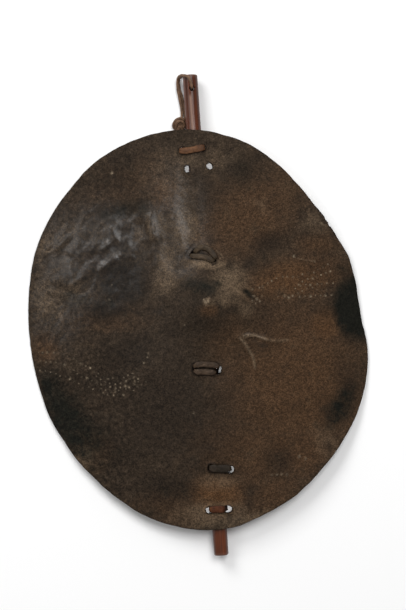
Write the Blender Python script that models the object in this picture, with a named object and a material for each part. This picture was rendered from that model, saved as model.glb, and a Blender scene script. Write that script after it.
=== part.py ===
"""A rawhide shield lashed to a straight wooden stick, lying face up.

The hide is one thick oval sheet, arched over the stick and pushed out into a low
boss above the hand grip. Five thong lashings pass through pairs of holes in the
hide and round the stick, and a thin thong hangs from a bore near the stick's end.

Metres, +Z up. +Y runs along the stick towards its pierced end. The origin is the
middle of the box round the shield, on the surface that it lies on.
"""

import math

import bmesh
import bpy
from mathutils import Vector

GAP = 0.0003  # kept between touching pieces

# The stick: a straight peeled rod, a little thinner at its two ends.
STICK_X = 0.0155
STICK_Z = 0.0190
STICK_LENGTH = 0.800
STICK_RADII = [  # (place along the stick, radius)
    (-0.400, 0.0120),
    (-0.350, 0.0123),
    (0.000, 0.0125),
    (0.370, 0.0124),
    (0.400, 0.0120),
]
STICK_END_ROUND = 0.0022
STICK_SIDES = 28
BORE_X = STICK_X + 0.002
BORE_Y = 0.377
BORE_RADIUS = 0.0046

# The hide's outline: its radius every 15 degrees round its middle, from +X.
RIM_CENTRE = Vector((0.0108, -0.0250))
RIM_RADII = [
    0.2643, 0.2670, 0.2710, 0.2783, 0.2985, 0.3205, 0.3330, 0.3357,
    0.3320, 0.3207, 0.3110, 0.2984, 0.2914, 0.2912, 0.2968, 0.3035,
    0.3140, 0.3262, 0.3305, 0.3207, 0.3083, 0.2973, 0.2896, 0.2796,
]  # fmt: skip

# The hide's form: an arch over the stick, a shallow dome and the boss.
HIDE_THICKNESS = 0.0060
RIM_THINNING = 0.0015  # how much thinner it is at its cut edge
RIDGE_Z = 0.0324  # underside of the hide along the stick, at its two ends
LEFT_REACH = 0.2965  # from the stick to the rim where it rests, on each side
RIGHT_REACH = 0.2660
ARCH_POWER = 1.6
DOME_RISE = 0.014
DOME_POWER = 1.3
BOSS = Vector((0.0205, 0.0260))
BOSS_RISE = 0.020
BOSS_RADIUS = 0.062
RIM_LIFTS = [  # (angle in degrees, spread in degrees, height): stretches that curl up
    (-52, 20, 0.009),
    (42, 18, 0.004),
    (136, 18, 0.003),
    (232, 20, 0.005),
]
HIDE_SEGMENTS = 60
HIDE_RINGS = 14

# Holes through the hide: (x, y, half width, half height). The last two are spare.
HOLES = [
    (-0.0048, 0.2739, 0.0062, 0.0062), (0.0274, 0.2754, 0.0062, 0.0062),
    (0.0016, 0.1006, 0.0066, 0.0082), (0.0340, 0.0900, 0.0062, 0.0070),
    (-0.0063, -0.0858, 0.0056, 0.0090), (0.0310, -0.0906, 0.0066, 0.0087),
    (0.0086, -0.2519, 0.0062, 0.0066), (0.0395, -0.2569, 0.0062, 0.0066),
    (0.0005, -0.3219, 0.0064, 0.0064), (0.0297, -0.3224, 0.0092, 0.0067),
    (0.0011, 0.2424, 0.0044, 0.0064), (0.0378, 0.2448, 0.0048, 0.0058),
]  # fmt: skip
HOLE_SIDES = 16
CUTTER_REACH = 0.02  # how far a hole's cutter runs past what it cuts

# The thongs that lash the hide to the stick, each through a pair of holes.
THONG_THICKNESS = 0.0030
SINGLE_WIDTH = 0.0100
LASHINGS = {  # name: where the middle of its thickness passes through the left and right hole
    "lashing_top": ((-0.0069, 0.2739), (0.0297, 0.2754)),
    "lashing_upper_grip": ((0.0004, 0.1002), (0.0356, 0.0900)),
    "lashing_lower_grip": ((-0.0032, -0.0858), (0.0270, -0.0906)),
    "lashing_lower": ((0.0065, -0.2516), (0.0380, -0.2566)),
    "lashing_bottom": ((0.0027, -0.3219), (0.0255, -0.3226)),
}
DOUBLE_TURNS = {  # name: how far its upper and lower turns bow along the stick, over the hide
    "lashing_upper_grip": (0.0165, -0.0004),
    "lashing_lower_grip": (0.0065, -0.0053),
}
KNOT_WIDTH = 0.0150  # of a single thong where its ends are tied under the stick
KNOT_THICKNESS = 0.0070
KNOT_SWELL = (0.20, 0.42)  # shares of the arc below the stick between which it thickens
STICK_GAP = 0.0005  # between thong and stick, because flat facets cut inside the arc
FACE_GAP = 0.0010  # between thong and hide, for the same reason
CORNER = 0.0009
ARC_STEPS = 7  # from beside the stick to below it
OVER_STEPS = 6
STRAND_THICKNESS = 0.0027
STRAND_WIDTH = 0.0046  # of each turn of a double thong, in its hole
STRAND_SPREAD_WIDTH = 0.0094  # and over the hide, where the turns lie spread
STRAND_OFFSET = 0.0026
CROSSING = (0.32, 0.68)  # shares of the arc between which the two turns change sides
CROSSING_DIP = (0.08, 0.30)  # and between which the lower one drops below the other
STRIP_OUTLINE = [  # a thong's cross-section: (share of half the width, share of the thickness)
    (-1, 0.25), (-1, 0.75), (-0.78, 1.0), (0.78, 1.0),
    (1, 0.75), (1, 0.25), (0.78, 0.0), (-0.78, 0.0),
]  # fmt: skip

# The hanging thong: from its knot up, over the stick's end, through the bore and back.
CORD_RADIUS = 0.0024
CORD_STEP = 0.0050
CORD_ROUTE = [
    (-0.0030, 0.3300, 0.0070), (-0.0021, 0.3370, 0.0060), (-0.0021, 0.3455, 0.0057),
    (-0.0033, 0.3568, 0.0057), (-0.0048, 0.3672, 0.0062), (-0.0059, 0.3747, 0.0070),
    (-0.0063, 0.3813, 0.0080), (-0.0061, 0.3888, 0.0096), (-0.0052, 0.3950, 0.0125),
    (-0.0033, 0.3984, 0.0160), (-0.0008, 0.3997, 0.0205), (0.0015, 0.3995, 0.0260),
    (0.0055, 0.3985, 0.0303), (0.0103, 0.3965, 0.0332), (0.0142, 0.3923, 0.0342),
    (0.0161, 0.3861, 0.0344), (0.0171, 0.3810, 0.0344), (0.0175, 0.3780, 0.0330),
    (0.0176, 0.3768, 0.0290), (0.0175, 0.3768, 0.0205), (0.0175, 0.3770, 0.0120),
    (0.0173, 0.3774, 0.0080), (0.0165, 0.3790, 0.0045), (0.0154, 0.3822, 0.0029),
    (0.0148, 0.3880, 0.0026), (0.0140, 0.3945, 0.0026), (0.0115, 0.3995, 0.0026),
    (0.0065, 0.4015, 0.0026), (0.0015, 0.4011, 0.0026), (-0.0022, 0.3992, 0.0026),
    (-0.0039, 0.3950, 0.0026), (-0.0043, 0.3888, 0.0026), (-0.0036, 0.3800, 0.0026),
    (-0.0017, 0.3715, 0.0026), (0.0004, 0.3610, 0.0026), (0.0020, 0.3510, 0.0026),
    (0.0027, 0.3400, 0.0033), (0.0028, 0.3322, 0.0048), (0.0012, 0.3267, 0.0064),
]  # fmt: skip
KNOT_CENTRE = Vector((-0.0078, 0.3205, 0.0070))
KNOT_HALF = Vector((0.0102, 0.0088, 0.0068))
TAIL_WIDTH = 0.0048
TAIL_THICKNESS = 0.0026
TAILS = [  # the two cut ends below the knot
    [(-0.012, 0.318, 0.0060), (-0.014, 0.307, 0.0032), (-0.017, 0.294, 0.0016), (-0.017, 0.281, 0.0016)],
    [(-0.005, 0.318, 0.0060), (-0.004, 0.307, 0.0032), (-0.002, 0.296, 0.0016), (-0.004, 0.286, 0.0016)],
]  # fmt: skip


def material(name, color, roughness):
    """A plain finish with one colour."""
    made = bpy.data.materials.new(name)
    made.use_nodes = True
    shader = made.node_tree.nodes["Principled BSDF"]
    shader.inputs["Base Color"].default_value = (*color, 1.0)
    shader.inputs["Roughness"].default_value = roughness
    shader.inputs["Metallic"].default_value = 0.0
    return made


def add_object(name, mesh_or_curve, finish):
    """Links a new object with its finish."""
    made = bpy.data.objects.new(name, mesh_or_curve)
    bpy.context.collection.objects.link(made)
    made.data.materials.append(finish)
    return made


def interpolate(table, at):
    """The value at a place in a table of (place, value) pairs, on straight lines between them."""
    for (a, low), (b, high) in zip(table, table[1:]):
        if at <= b:
            share = (at - a) / (b - a)
            return low + (high - low) * min(max(share, 0.0), 1.0)
    return table[-1][1]


def catmull_rom(p0, p1, p2, p3, t):
    """A point between p1 and p2 on the smooth curve through all four."""
    return 0.5 * (
        2 * p1
        + (p2 - p0) * t
        + (2 * p0 - 5 * p1 + 4 * p2 - p3) * t**2
        + (3 * p1 - p0 - 3 * p2 + p3) * t**3
    )


def smooth_line(route, step):
    """Points about a step apart on a smooth curve through the route's points."""
    points = [Vector(p) for p in route]
    ends = [2 * points[0] - points[1], *points, 2 * points[-1] - points[-2]]
    fine = []
    for i in range(1, len(ends) - 2):
        fine += [catmull_rom(*ends[i - 1 : i + 3], t / 20) for t in range(20)]
    fine.append(points[-1])
    along = [0.0]
    for a, b in zip(fine, fine[1:]):
        along.append(along[-1] + (b - a).length)
    count = round(along[-1] / step)
    line, i = [], 0
    for k in range(count + 1):
        target = along[-1] * k / count
        while i < len(fine) - 2 and along[i + 1] < target:
            i += 1
        share = (target - along[i]) / (along[i + 1] - along[i])
        line.append(fine[i].lerp(fine[i + 1], share))
    return line


# --- The hide ---------------------------------------------------------------


def rim_radius(angle):
    """The outline's radius at an angle in radians."""
    place = math.degrees(angle) % 360 / 360 * len(RIM_RADII)
    i, t = int(place), place % 1
    return catmull_rom(*(RIM_RADII[(i + k) % len(RIM_RADII)] for k in (-1, 0, 1, 2)), t)


def rim_lift(angle, share):
    """How far the rim's curled stretches lift a point at a share of the radius."""
    lift = 0.0
    for middle, spread, height in RIM_LIFTS:
        off = (math.degrees(angle) - middle + 180) % 360 - 180
        lift += height * math.exp(-((off / spread) ** 2)) * share**3
    return lift


def hide_heights(x, y):
    """The underside's and the face's height above the ground at a place."""
    out = Vector((x, y)) - RIM_CENTRE
    angle = math.atan2(out.y, out.x)
    share = min(out.length / rim_radius(angle), 1.0)
    reach = LEFT_REACH if x < STICK_X else RIGHT_REACH
    arch = max(1 - (abs(x - STICK_X) / reach) ** ARCH_POWER, 0.0)
    dome = (1 - share**2) ** DOME_POWER
    boss = math.exp(-(((Vector((x, y)) - BOSS).length / BOSS_RADIUS) ** 2))
    under = RIDGE_Z * arch + DOME_RISE * dome + BOSS_RISE * boss + rim_lift(angle, share)
    return under, under + HIDE_THICKNESS - RIM_THINNING * share**4


def hide_mesh():
    """The sheet, as rings of points on its face and its underside."""
    shape = bmesh.new()
    layers = []
    for side in (0, 1):
        middle = shape.verts.new((*RIM_CENTRE, hide_heights(*RIM_CENTRE)[side]))
        rings = []
        for ring in range(1, HIDE_RINGS + 1):
            points = []
            for k in range(HIDE_SEGMENTS):
                angle = 2 * math.pi * k / HIDE_SEGMENTS
                out = Vector((math.cos(angle), math.sin(angle))) * rim_radius(angle)
                x, y = RIM_CENTRE + out * ring / HIDE_RINGS
                points.append(shape.verts.new((x, y, hide_heights(x, y)[side])))
            rings.append(points)
        layers.append((middle, rings))
    for side, (middle, rings) in enumerate(layers):
        for k in range(HIDE_SEGMENTS):
            after = (k + 1) % HIDE_SEGMENTS
            faces = [(middle, rings[0][k], rings[0][after])]
            for inner, outer in zip(rings, rings[1:]):
                faces.append((inner[k], outer[k], outer[after]))
                faces.append((inner[k], outer[after], inner[after]))
            for face in faces:
                shape.faces.new(face if side else face[::-1])
    below, above = layers[0][1][-1], layers[1][1][-1]
    for k in range(HIDE_SEGMENTS):
        after = (k + 1) % HIDE_SEGMENTS
        shape.faces.new((below[k], below[after], above[after], above[k]))
    mesh = bpy.data.meshes.new("hide")
    shape.to_mesh(mesh)
    shape.free()
    mesh.shade_smooth()
    mesh.set_sharp_from_angle(angle=math.radians(40))
    return mesh


def add_cutter(name, x, y, low, high, half_width, half_height):
    """An upright oval cutter from below low to above high, left out of the part itself."""
    shape = bmesh.new()
    bmesh.ops.create_cone(
        shape,
        cap_ends=True,
        segments=HOLE_SIDES,
        radius1=1.0,
        radius2=1.0,
        depth=high - low + 2 * CUTTER_REACH,
    )
    mesh = bpy.data.meshes.new(name)
    shape.to_mesh(mesh)
    shape.free()
    cutter = bpy.data.objects.new(name, mesh)
    bpy.context.collection.objects.link(cutter)
    cutter.location = (x, y, (low + high) / 2)
    cutter.scale = (half_width, half_height, 1.0)
    cutter.hide_render = True
    cutter.display_type = "WIRE"
    return cutter


def cut(target, cutter):
    """Takes the cutter's shape away from the target."""
    modifier = target.modifiers.new(cutter.name, "BOOLEAN")
    modifier.operation = "DIFFERENCE"
    modifier.solver = "EXACT"
    modifier.object = cutter


def make_hide(finish):
    """The sheet with its ten lashing holes and the two spare ones."""
    hide = add_object("hide", hide_mesh(), finish)
    for k, (x, y, *half) in enumerate(HOLES):
        cut(hide, add_cutter(f"hole_{k}", x, y, *hide_heights(x, y), *half))


# --- The stick --------------------------------------------------------------


def stick_radius(y):
    """The stick's radius at a place along it, with its two ends rounded off."""
    radius = interpolate(STICK_RADII, y)
    into_round = abs(y) - (STICK_LENGTH / 2 - STICK_END_ROUND)
    if into_round <= 0:
        return radius
    return radius - STICK_END_ROUND + math.sqrt(max(STICK_END_ROUND**2 - into_round**2, 0))


def make_stick(finish):
    """The rod, turned about its own line, with the bore through its end."""
    half = STICK_LENGTH / 2
    steps = [half - STICK_END_ROUND * (1 - math.sin(math.radians(a))) for a in (90, 50, 20, 0)]
    places = [-p for p in steps] + [y for y, _ in STICK_RADII[1:-1]] + steps[::-1]
    shape = bmesh.new()
    rings = []
    for y in places:
        radius = stick_radius(y)
        ring = []
        for k in range(STICK_SIDES):
            turn = 2 * math.pi * (k + 0.5) / STICK_SIDES
            x, z = radius * math.sin(turn), radius * math.cos(turn)
            ring.append(shape.verts.new((STICK_X + x, y, STICK_Z + z)))
        rings.append(ring)
    for near, far in zip(rings, rings[1:]):
        for k in range(STICK_SIDES):
            after = (k + 1) % STICK_SIDES
            shape.faces.new((near[k], far[k], far[after], near[after]))
    shape.faces.new(rings[0])
    shape.faces.new(rings[-1][::-1])
    mesh = bpy.data.meshes.new("stick")
    shape.to_mesh(mesh)
    shape.free()
    mesh.shade_smooth()
    mesh.set_sharp_from_angle(angle=math.radians(40))
    stick = add_object("stick", mesh, finish)
    cut(stick, add_cutter("bore", BORE_X, BORE_Y, STICK_Z, STICK_Z, BORE_RADIUS, BORE_RADIUS))


# --- The lashings -----------------------------------------------------------


class Loop:
    """The upright plane through one pair of holes, in which a thong runs.

    Places in it are (s, z): s runs from the left hole to the right one, and is
    zero above the stick's line. Sideways is along the stick, so that the plane
    meets it the same way at each of the thong's edges.
    """

    def __init__(self, left, right):
        left, right = Vector(left), Vector(right)
        self.along = (right - left).normalized()
        share = (STICK_X - left.x) / (right.x - left.x)
        self.origin = left.lerp(right, share)
        self.left = (left - self.origin).dot(self.along)
        self.right = (right - self.origin).dot(self.along)
        # A slanting plane cuts the stick in a slightly longer ellipse.
        self.radius = stick_radius(self.origin.y)
        self.stretch = 1 / self.along.x

    def place(self, s, z, sideways):
        """The point at (s, z), moved sideways out of the plane."""
        flat = self.origin + self.along * s
        return Vector((flat.x, flat.y + sideways, z))

    def underside(self, s):
        """The hide's underside at a place along the plane."""
        return hide_heights(*(self.origin + self.along * s))[0]

    def face(self, s, sideways, width):
        """The highest point of the hide's face below a thong of that width."""
        flat = self.origin + self.along * s
        edges = (sideways + k * width / 2 for k in (-1, 0, 1))
        return max(hide_heights(flat.x, flat.y + edge)[1] for edge in edges)

    def round_stick(self, turn, extra):
        """The place at an angle round the stick, some way outside its surface."""
        radius = self.radius + extra
        return math.cos(turn) * radius * self.stretch, STICK_Z + math.sin(turn) * radius


def touching_angle(s, z, radius):
    """The angle round the stick where a taut thong from (s, z) meets it."""
    away = math.hypot(s, z - STICK_Z)
    lean = math.atan2(z - STICK_Z, abs(s))
    return lean - math.acos(min(radius / away, 1.0))


def turn_course(loop, thickness, lay):
    """The inner side of one turn, from the stick's right side down round it.

    Each station is (kind, share, s, z, sideways, width). kind is "under" on the arc
    below the stick, "side" beside it and in a hole, and "over" on the hide's face.
    share runs from 0 to 1 from left to right on those above, and along the arc.
    lay gives the thong's sideways place and width for a kind and share.
    """
    sides = {}
    eased = CORNER * (1 - math.sqrt(0.5))  # how far in a round corner's middle lies
    for sign, hole in ((-1, loop.left), (1, loop.right)):
        s = hole - sign * thickness / 2
        low = loop.underside(hole) - 2 * GAP
        touch = touching_angle(s, low, loop.radius + STICK_GAP)
        high = loop.face(s, *lay("over", 0.0)) + FACE_GAP
        sides[sign] = (s, low, high, touch)
    left_s, left_low, left_high, left_touch = sides[-1]
    right_s, right_low, right_high, right_touch = sides[1]

    turns = []
    for k in range(ARC_STEPS):
        turns.append(right_touch - (right_touch + math.pi / 2) * k / ARC_STEPS)
    for k in range(ARC_STEPS + 1):
        turns.append(-math.pi / 2 - (left_touch + math.pi / 2) * k / ARC_STEPS)
    course = []
    for k, turn in enumerate(turns):
        share = k / (2 * ARC_STEPS)
        course.append(("under", share, *loop.round_stick(turn, STICK_GAP)))
    course.append(("side", 0.0, left_s, left_low))
    course.append(("side", 0.0, left_s, left_high - CORNER))
    course.append(("side", 0.0, left_s + eased, left_high - eased))
    for k in range(OVER_STEPS + 1):
        share = k / OVER_STEPS
        s = left_s + CORNER + (right_s - left_s - 2 * CORNER) * share
        course.append(("over", share, s, loop.face(s, *lay("over", share)) + FACE_GAP))
    course.append(("side", 1.0, right_s - eased, right_high - eased))
    course.append(("side", 1.0, right_s, right_high - CORNER))
    course.append(("side", 1.0, right_s, right_low))
    return [(*station, *lay(*station[:2])) for station in course]


def rise(share, start, end):
    """Goes smoothly from 0 to 1 as share goes from start to end."""
    t = min(max((share - start) / (end - start), 0.0), 1.0)
    return t * t * (3 - 2 * t)


def swell(share, start, end):
    """Rises from 0 to 1 between start and end, and falls back as far from the other end."""
    return rise(share, start, end) * rise(1 - share, start, end)


def sweep(rings, closed):
    """A closed mesh through rings of points, joined end to end or capped."""
    shape = bmesh.new()
    loops = [[shape.verts.new(p) for p in ring] for ring in rings]
    pairs = list(zip(loops, loops[1:]))
    if closed:
        pairs.append((loops[-1], loops[0]))
    for near, far in pairs:
        for k in range(len(near)):
            after = (k + 1) % len(near)
            shape.faces.new((near[k], near[after], far[after], far[k]))
    if not closed:
        shape.faces.new(loops[0][::-1])
        shape.faces.new(loops[-1])
    bmesh.ops.recalc_face_normals(shape, faces=shape.faces)
    mesh = bpy.data.meshes.new("swept")
    shape.to_mesh(mesh)
    shape.free()
    mesh.shade_smooth()
    mesh.set_sharp_from_angle(angle=math.radians(40))
    return mesh


def strip_ring(inside, outward, across, width, thickness):
    """A flat thong's cross-section with rounded edges, as a ring of eight points."""
    return [
        inside + across * (side * width / 2) + outward * (depth * thickness)
        for side, depth in STRIP_OUTLINE
    ]


def thong_rings(loop, course):
    """The rings of a closed thong from its course: (s, z, width, thickness, sideways)."""
    rings = []
    across = Vector((0.0, 1.0, 0.0))
    for k, (s, z, width, thickness, sideways) in enumerate(course):
        before, after = course[k - 1], course[(k + 1) % len(course)]
        run = (Vector(after[:2]) - Vector((s, z))).normalized()
        run += (Vector((s, z)) - Vector(before[:2])).normalized()
        run.normalize()
        # The course runs clockwise seen from the stick's lower end, so its left is outside.
        outward = Vector((*(loop.along * -run.y), run.x))
        rings.append(strip_ring(loop.place(s, z, sideways), outward, across, width, thickness))
    return rings


def single_course(loop):
    """One turn of a wide thong, thick under the stick where its ends are tied."""
    knot = min(STICK_Z - loop.radius - STICK_GAP, KNOT_THICKNESS)

    def tied(kind, share):
        return swell(share, *KNOT_SWELL) if kind == "under" else 0.0

    def lay(kind, share):
        return 0.0, SINGLE_WIDTH + (KNOT_WIDTH - SINGLE_WIDTH) * tied(kind, share)

    course = []
    for kind, share, s, z, sideways, width in turn_course(loop, THONG_THICKNESS, lay):
        thickness = THONG_THICKNESS + (knot - THONG_THICKNESS) * tied(kind, share)
        course.append((s, z, width, thickness, sideways))
    return course


def double_course(loop, bows):
    """Two turns of a narrow thong, spread over the hide and crossing under the stick."""
    course = []
    for turn, bow in zip((1, -1), bows):

        def lay(kind, share, turn=turn, bow=bow):
            if kind == "under":
                return turn * STRAND_OFFSET * (2 * rise(share, *CROSSING) - 1), STRAND_WIDTH
            spread = math.sin(math.pi * share) if kind == "over" else 0.0
            width = STRAND_WIDTH + (STRAND_SPREAD_WIDTH - STRAND_WIDTH) * spread
            return turn * STRAND_OFFSET * (1 - spread) + bow * spread, width

        for kind, share, s, z, sideways, width in turn_course(loop, STRAND_THICKNESS, lay):
            if kind == "under" and turn < 0:
                # The second turn crosses below the first.
                out = Vector((s / loop.stretch, z - STICK_Z)).normalized()
                out *= swell(share, *CROSSING_DIP) * (STRAND_THICKNESS + GAP)
                s, z = s + out.x * loop.stretch, z + out.y
            course.append((s, z, width, STRAND_THICKNESS, sideways))
    return course


def make_lashings(finish):
    """One closed thong through each pair of holes and round the stick."""
    for name, (left, right) in LASHINGS.items():
        loop = Loop(left, right)
        bows = DOUBLE_TURNS.get(name)
        course = double_course(loop, bows) if bows else single_course(loop)
        add_object(name, sweep(thong_rings(loop, course), closed=True), finish)


# --- The hanging thong ------------------------------------------------------


def make_hanging_thong(finish):
    """The thin thong through the stick's bore, from its knot and back to it."""
    curve = bpy.data.curves.new("hanging_thong", "CURVE")
    curve.dimensions = "3D"
    curve.bevel_depth = CORD_RADIUS
    curve.bevel_resolution = 2
    curve.use_fill_caps = True
    line = smooth_line(CORD_ROUTE, CORD_STEP)
    spline = curve.splines.new("POLY")
    spline.points.add(len(line) - 1)
    for point, place in zip(spline.points, line):
        point.co = (*place, 1.0)
    add_object("hanging_thong", curve, finish)


def make_thong_knot(finish):
    """The knot that ties the thong's two ends, with the tails that stick out of it."""
    shape = bmesh.new()
    bmesh.ops.create_icosphere(shape, subdivisions=2, radius=1.0)
    for vert in shape.verts:
        vert.co = Vector(a * b for a, b in zip(vert.co, KNOT_HALF)) + KNOT_CENTRE
    mesh = bpy.data.meshes.new("thong_knot")
    shape.to_mesh(mesh)
    shape.free()
    mesh.shade_smooth()
    knot = add_object("thong_knot", mesh, finish)
    for k, route in enumerate(TAILS):
        rings = []
        line = smooth_line(route, 0.006)
        for i, place in enumerate(line):
            run = line[min(i + 1, len(line) - 1)] - line[max(i - 1, 0)]
            across = Vector((run.y, -run.x, 0.0)).normalized()
            outward = across.cross(run).normalized()
            inside = place - outward * TAIL_THICKNESS / 2
            rings.append(strip_ring(inside, outward, across, TAIL_WIDTH, TAIL_THICKNESS))
        tail = bpy.data.objects.new(f"tail_{k}", sweep(rings, closed=False))
        bpy.context.collection.objects.link(tail)
        tail.hide_render = True
        tail.display_type = "WIRE"
        union = knot.modifiers.new(tail.name, "BOOLEAN")
        union.operation = "UNION"
        union.solver = "EXACT"
        union.object = tail


def main():
    for thing in list(bpy.data.objects):
        bpy.data.objects.remove(thing)
    rawhide = material("rawhide", (0.052, 0.036, 0.025), 0.55)
    polished_wood = material("polished_wood", (0.16, 0.055, 0.03), 0.35)
    dark_thong = material("dark_thong", (0.075, 0.05, 0.034), 0.6)
    brown_thong = material("brown_thong", (0.20, 0.10, 0.055), 0.55)
    make_hide(rawhide)
    make_stick(polished_wood)
    make_lashings(dark_thong)
    make_hanging_thong(brown_thong)
    make_thong_knot(brown_thong)
    for name in ("lashing_top", "lashing_bottom"):
        bpy.data.objects[name].data.materials[0] = brown_thong


main()
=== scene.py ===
"""The looks of a rawhide shield lashed to a straight stick, lying face up.

The hide is a dense sheet with its wrinkles, creases, hole lips and stippled dots.
The stick, its five lashings and the hanging thong with its knot are modelled round
it. Metres, +Z up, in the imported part's frame; the stick runs along Y.
"""

import math

import bpy
import numpy as np
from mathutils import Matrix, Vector, noise
from mathutils.geometry import delaunay_2d_cdt


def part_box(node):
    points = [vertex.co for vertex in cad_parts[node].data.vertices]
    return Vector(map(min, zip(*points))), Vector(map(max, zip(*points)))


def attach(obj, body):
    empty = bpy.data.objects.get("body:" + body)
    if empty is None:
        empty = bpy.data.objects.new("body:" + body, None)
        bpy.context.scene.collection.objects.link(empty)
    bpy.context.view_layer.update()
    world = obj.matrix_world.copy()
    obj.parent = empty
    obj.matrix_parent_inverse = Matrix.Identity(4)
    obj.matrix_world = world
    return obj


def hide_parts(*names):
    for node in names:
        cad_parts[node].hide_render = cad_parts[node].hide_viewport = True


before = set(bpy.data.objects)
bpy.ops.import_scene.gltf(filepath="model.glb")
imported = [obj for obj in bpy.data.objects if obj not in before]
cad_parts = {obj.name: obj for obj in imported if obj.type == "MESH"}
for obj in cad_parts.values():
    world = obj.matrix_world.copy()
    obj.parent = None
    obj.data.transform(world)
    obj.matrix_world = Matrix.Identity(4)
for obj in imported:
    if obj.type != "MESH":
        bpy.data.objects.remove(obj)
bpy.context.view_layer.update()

MM = 0.001
GAP = 0.0003  # kept between touching pieces

# --- Sizes that the solids have too ---

STICK_X = 0.0155
STICK_Z = 0.0190
STICK_LENGTH = 0.800
STICK_RADII = [  # (place along the stick, radius)
    (-0.400, 0.0120),
    (-0.350, 0.0123),
    (0.000, 0.0125),
    (0.370, 0.0124),
    (0.400, 0.0120),
]
BORE_X = STICK_X + 0.002
BORE_Y = 0.377
BORE_RADIUS = 0.0046
BORE_NECK = 0.0031  # drilled from both sides, it is narrower in the middle
BORE_FLARE = 0.0062

RIM_CENTRE = Vector((0.0108, -0.0250))
RIM_RADII = np.array([
    0.2643, 0.2670, 0.2710, 0.2783, 0.2985, 0.3205, 0.3330, 0.3357,
    0.3320, 0.3207, 0.3110, 0.2984, 0.2914, 0.2912, 0.2968, 0.3035,
    0.3140, 0.3262, 0.3305, 0.3207, 0.3083, 0.2973, 0.2896, 0.2796,
])  # fmt: skip
HIDE_THICKNESS = 0.0060
RIM_THINNING = 0.0015
RIDGE_Z = 0.0324
LEFT_REACH = 0.2965
RIGHT_REACH = 0.2660
ARCH_POWER = 1.6
DOME_RISE = 0.014
DOME_POWER = 1.3
BOSS = Vector((0.0205, 0.0260))
BOSS_RISE = 0.020
BOSS_RADIUS = 0.062
RIM_LIFTS = [  # where the rim rises: (angle in degrees, spread in degrees, height)
    (-52, 20, 0.009), (42, 18, 0.004), (136, 18, 0.003), (232, 20, 0.005),
]  # fmt: skip

CORD_RADIUS = 0.0024
CORD_ROUTE = [  # the middle line of the hanging thong, from the knot and back to it
    (-0.003, 0.33, 0.007), (-0.0021, 0.337, 0.006), (-0.0021, 0.3455, 0.0057), (-0.0033, 0.3568, 0.0057),
    (-0.0048, 0.3672, 0.0062), (-0.0059, 0.3747, 0.007), (-0.0063, 0.3813, 0.008),
    (-0.0061, 0.3888, 0.0096), (-0.0052, 0.395, 0.0125), (-0.0033, 0.3984, 0.016),
    (-0.0008, 0.3997, 0.0205), (0.0015, 0.3995, 0.026), (0.0055, 0.3985, 0.0303),
    (0.0103, 0.3965, 0.0332), (0.0142, 0.3923, 0.0342), (0.0161, 0.3861, 0.0344),
    (0.0171, 0.381, 0.0344), (0.0175, 0.378, 0.033), (0.0176, 0.3768, 0.029), (0.0175, 0.3768, 0.0205),
    (0.0175, 0.377, 0.012), (0.0173, 0.3774, 0.008), (0.0165, 0.379, 0.0045), (0.0154, 0.3822, 0.0029),
    (0.0148, 0.388, 0.0026), (0.014, 0.3945, 0.0026), (0.0115, 0.3995, 0.0026), (0.0065, 0.4015, 0.0026),
    (0.0015, 0.4011, 0.0026), (-0.0022, 0.3992, 0.0026), (-0.0039, 0.395, 0.0026),
    (-0.0043, 0.3888, 0.0026), (-0.0036, 0.38, 0.0026), (-0.0017, 0.3715, 0.0026),
    (0.0004, 0.361, 0.0026), (0.002, 0.351, 0.0026), (0.0027, 0.34, 0.0033), (0.0028, 0.3322, 0.0048),
    (0.0012, 0.3267, 0.0064),
]  # fmt: skip

# --- Lines and fields ---


def catmull_rom(p0, p1, p2, p3, t):
    """A point between p1 and p2 on the smooth curve through all four."""
    return 0.5 * (
        2 * p1
        + (p2 - p0) * t
        + (2 * p0 - 5 * p1 + 4 * p2 - p3) * t**2
        + (3 * p1 - p0 - 3 * p2 + p3) * t**3
    )


def smooth_line(route, step):
    """Points about a step apart on a smooth curve through the route's points."""
    points = np.array(route, float)
    ends = np.vstack([2 * points[0] - points[1], points, 2 * points[-1] - points[-2]])
    shares = np.arange(20)[:, None] / 20
    spans = [catmull_rom(*ends[i - 1 : i + 3], shares) for i in range(1, len(ends) - 2)]
    return even_line(np.vstack([*spans, points[-1:]]), step)


def even_line(points, step):
    """The same line with its points about a step apart."""
    along = along_line(points)
    count = max(round(along[-1] / step), 1)
    places = np.linspace(0, along[-1], count + 1)
    return np.column_stack([np.interp(places, along, column) for column in points.T])


def along_line(points):
    """How far each point of a line is along it."""
    return np.concatenate([[0], np.cumsum(np.linalg.norm(np.diff(points, axis=0), axis=1))])


def units(rows):
    """Each row at length 1."""
    return rows / np.linalg.norm(rows, axis=1)[:, None]


def turned(x, y, degrees):
    """Coordinates along and across a direction at that many degrees from +X."""
    turn = math.radians(degrees)
    return x * math.cos(turn) + y * math.sin(turn), y * math.cos(turn) - x * math.sin(turn)


def noise_field(x, y, size, layer, octaves=1):
    """Smooth noise from about -1 to 1, in lumps about a size across."""
    total, weight = np.zeros_like(x), 1.0
    for octave in range(octaves):
        scale = 2**octave / size
        places = zip(x * scale, y * scale)
        total += weight * np.array([noise.noise((a, b, layer + 7.3 * octave)) for a, b in places])
        weight *= 0.5
    return total * 1.6


def spot(x, y, place, power=1.0):
    """1 in the middle of an oval (x, y, half length, half width, turn) in mm, fading outwards."""
    middle_x, middle_y, half_length, half_width, turn = (float(v) for v in place)
    u, v = turned(x - middle_x * MM, y - middle_y * MM, turn)
    return np.exp(-(((u / (half_length * MM)) ** 2 + (v / (half_width * MM)) ** 2) ** power))


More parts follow.
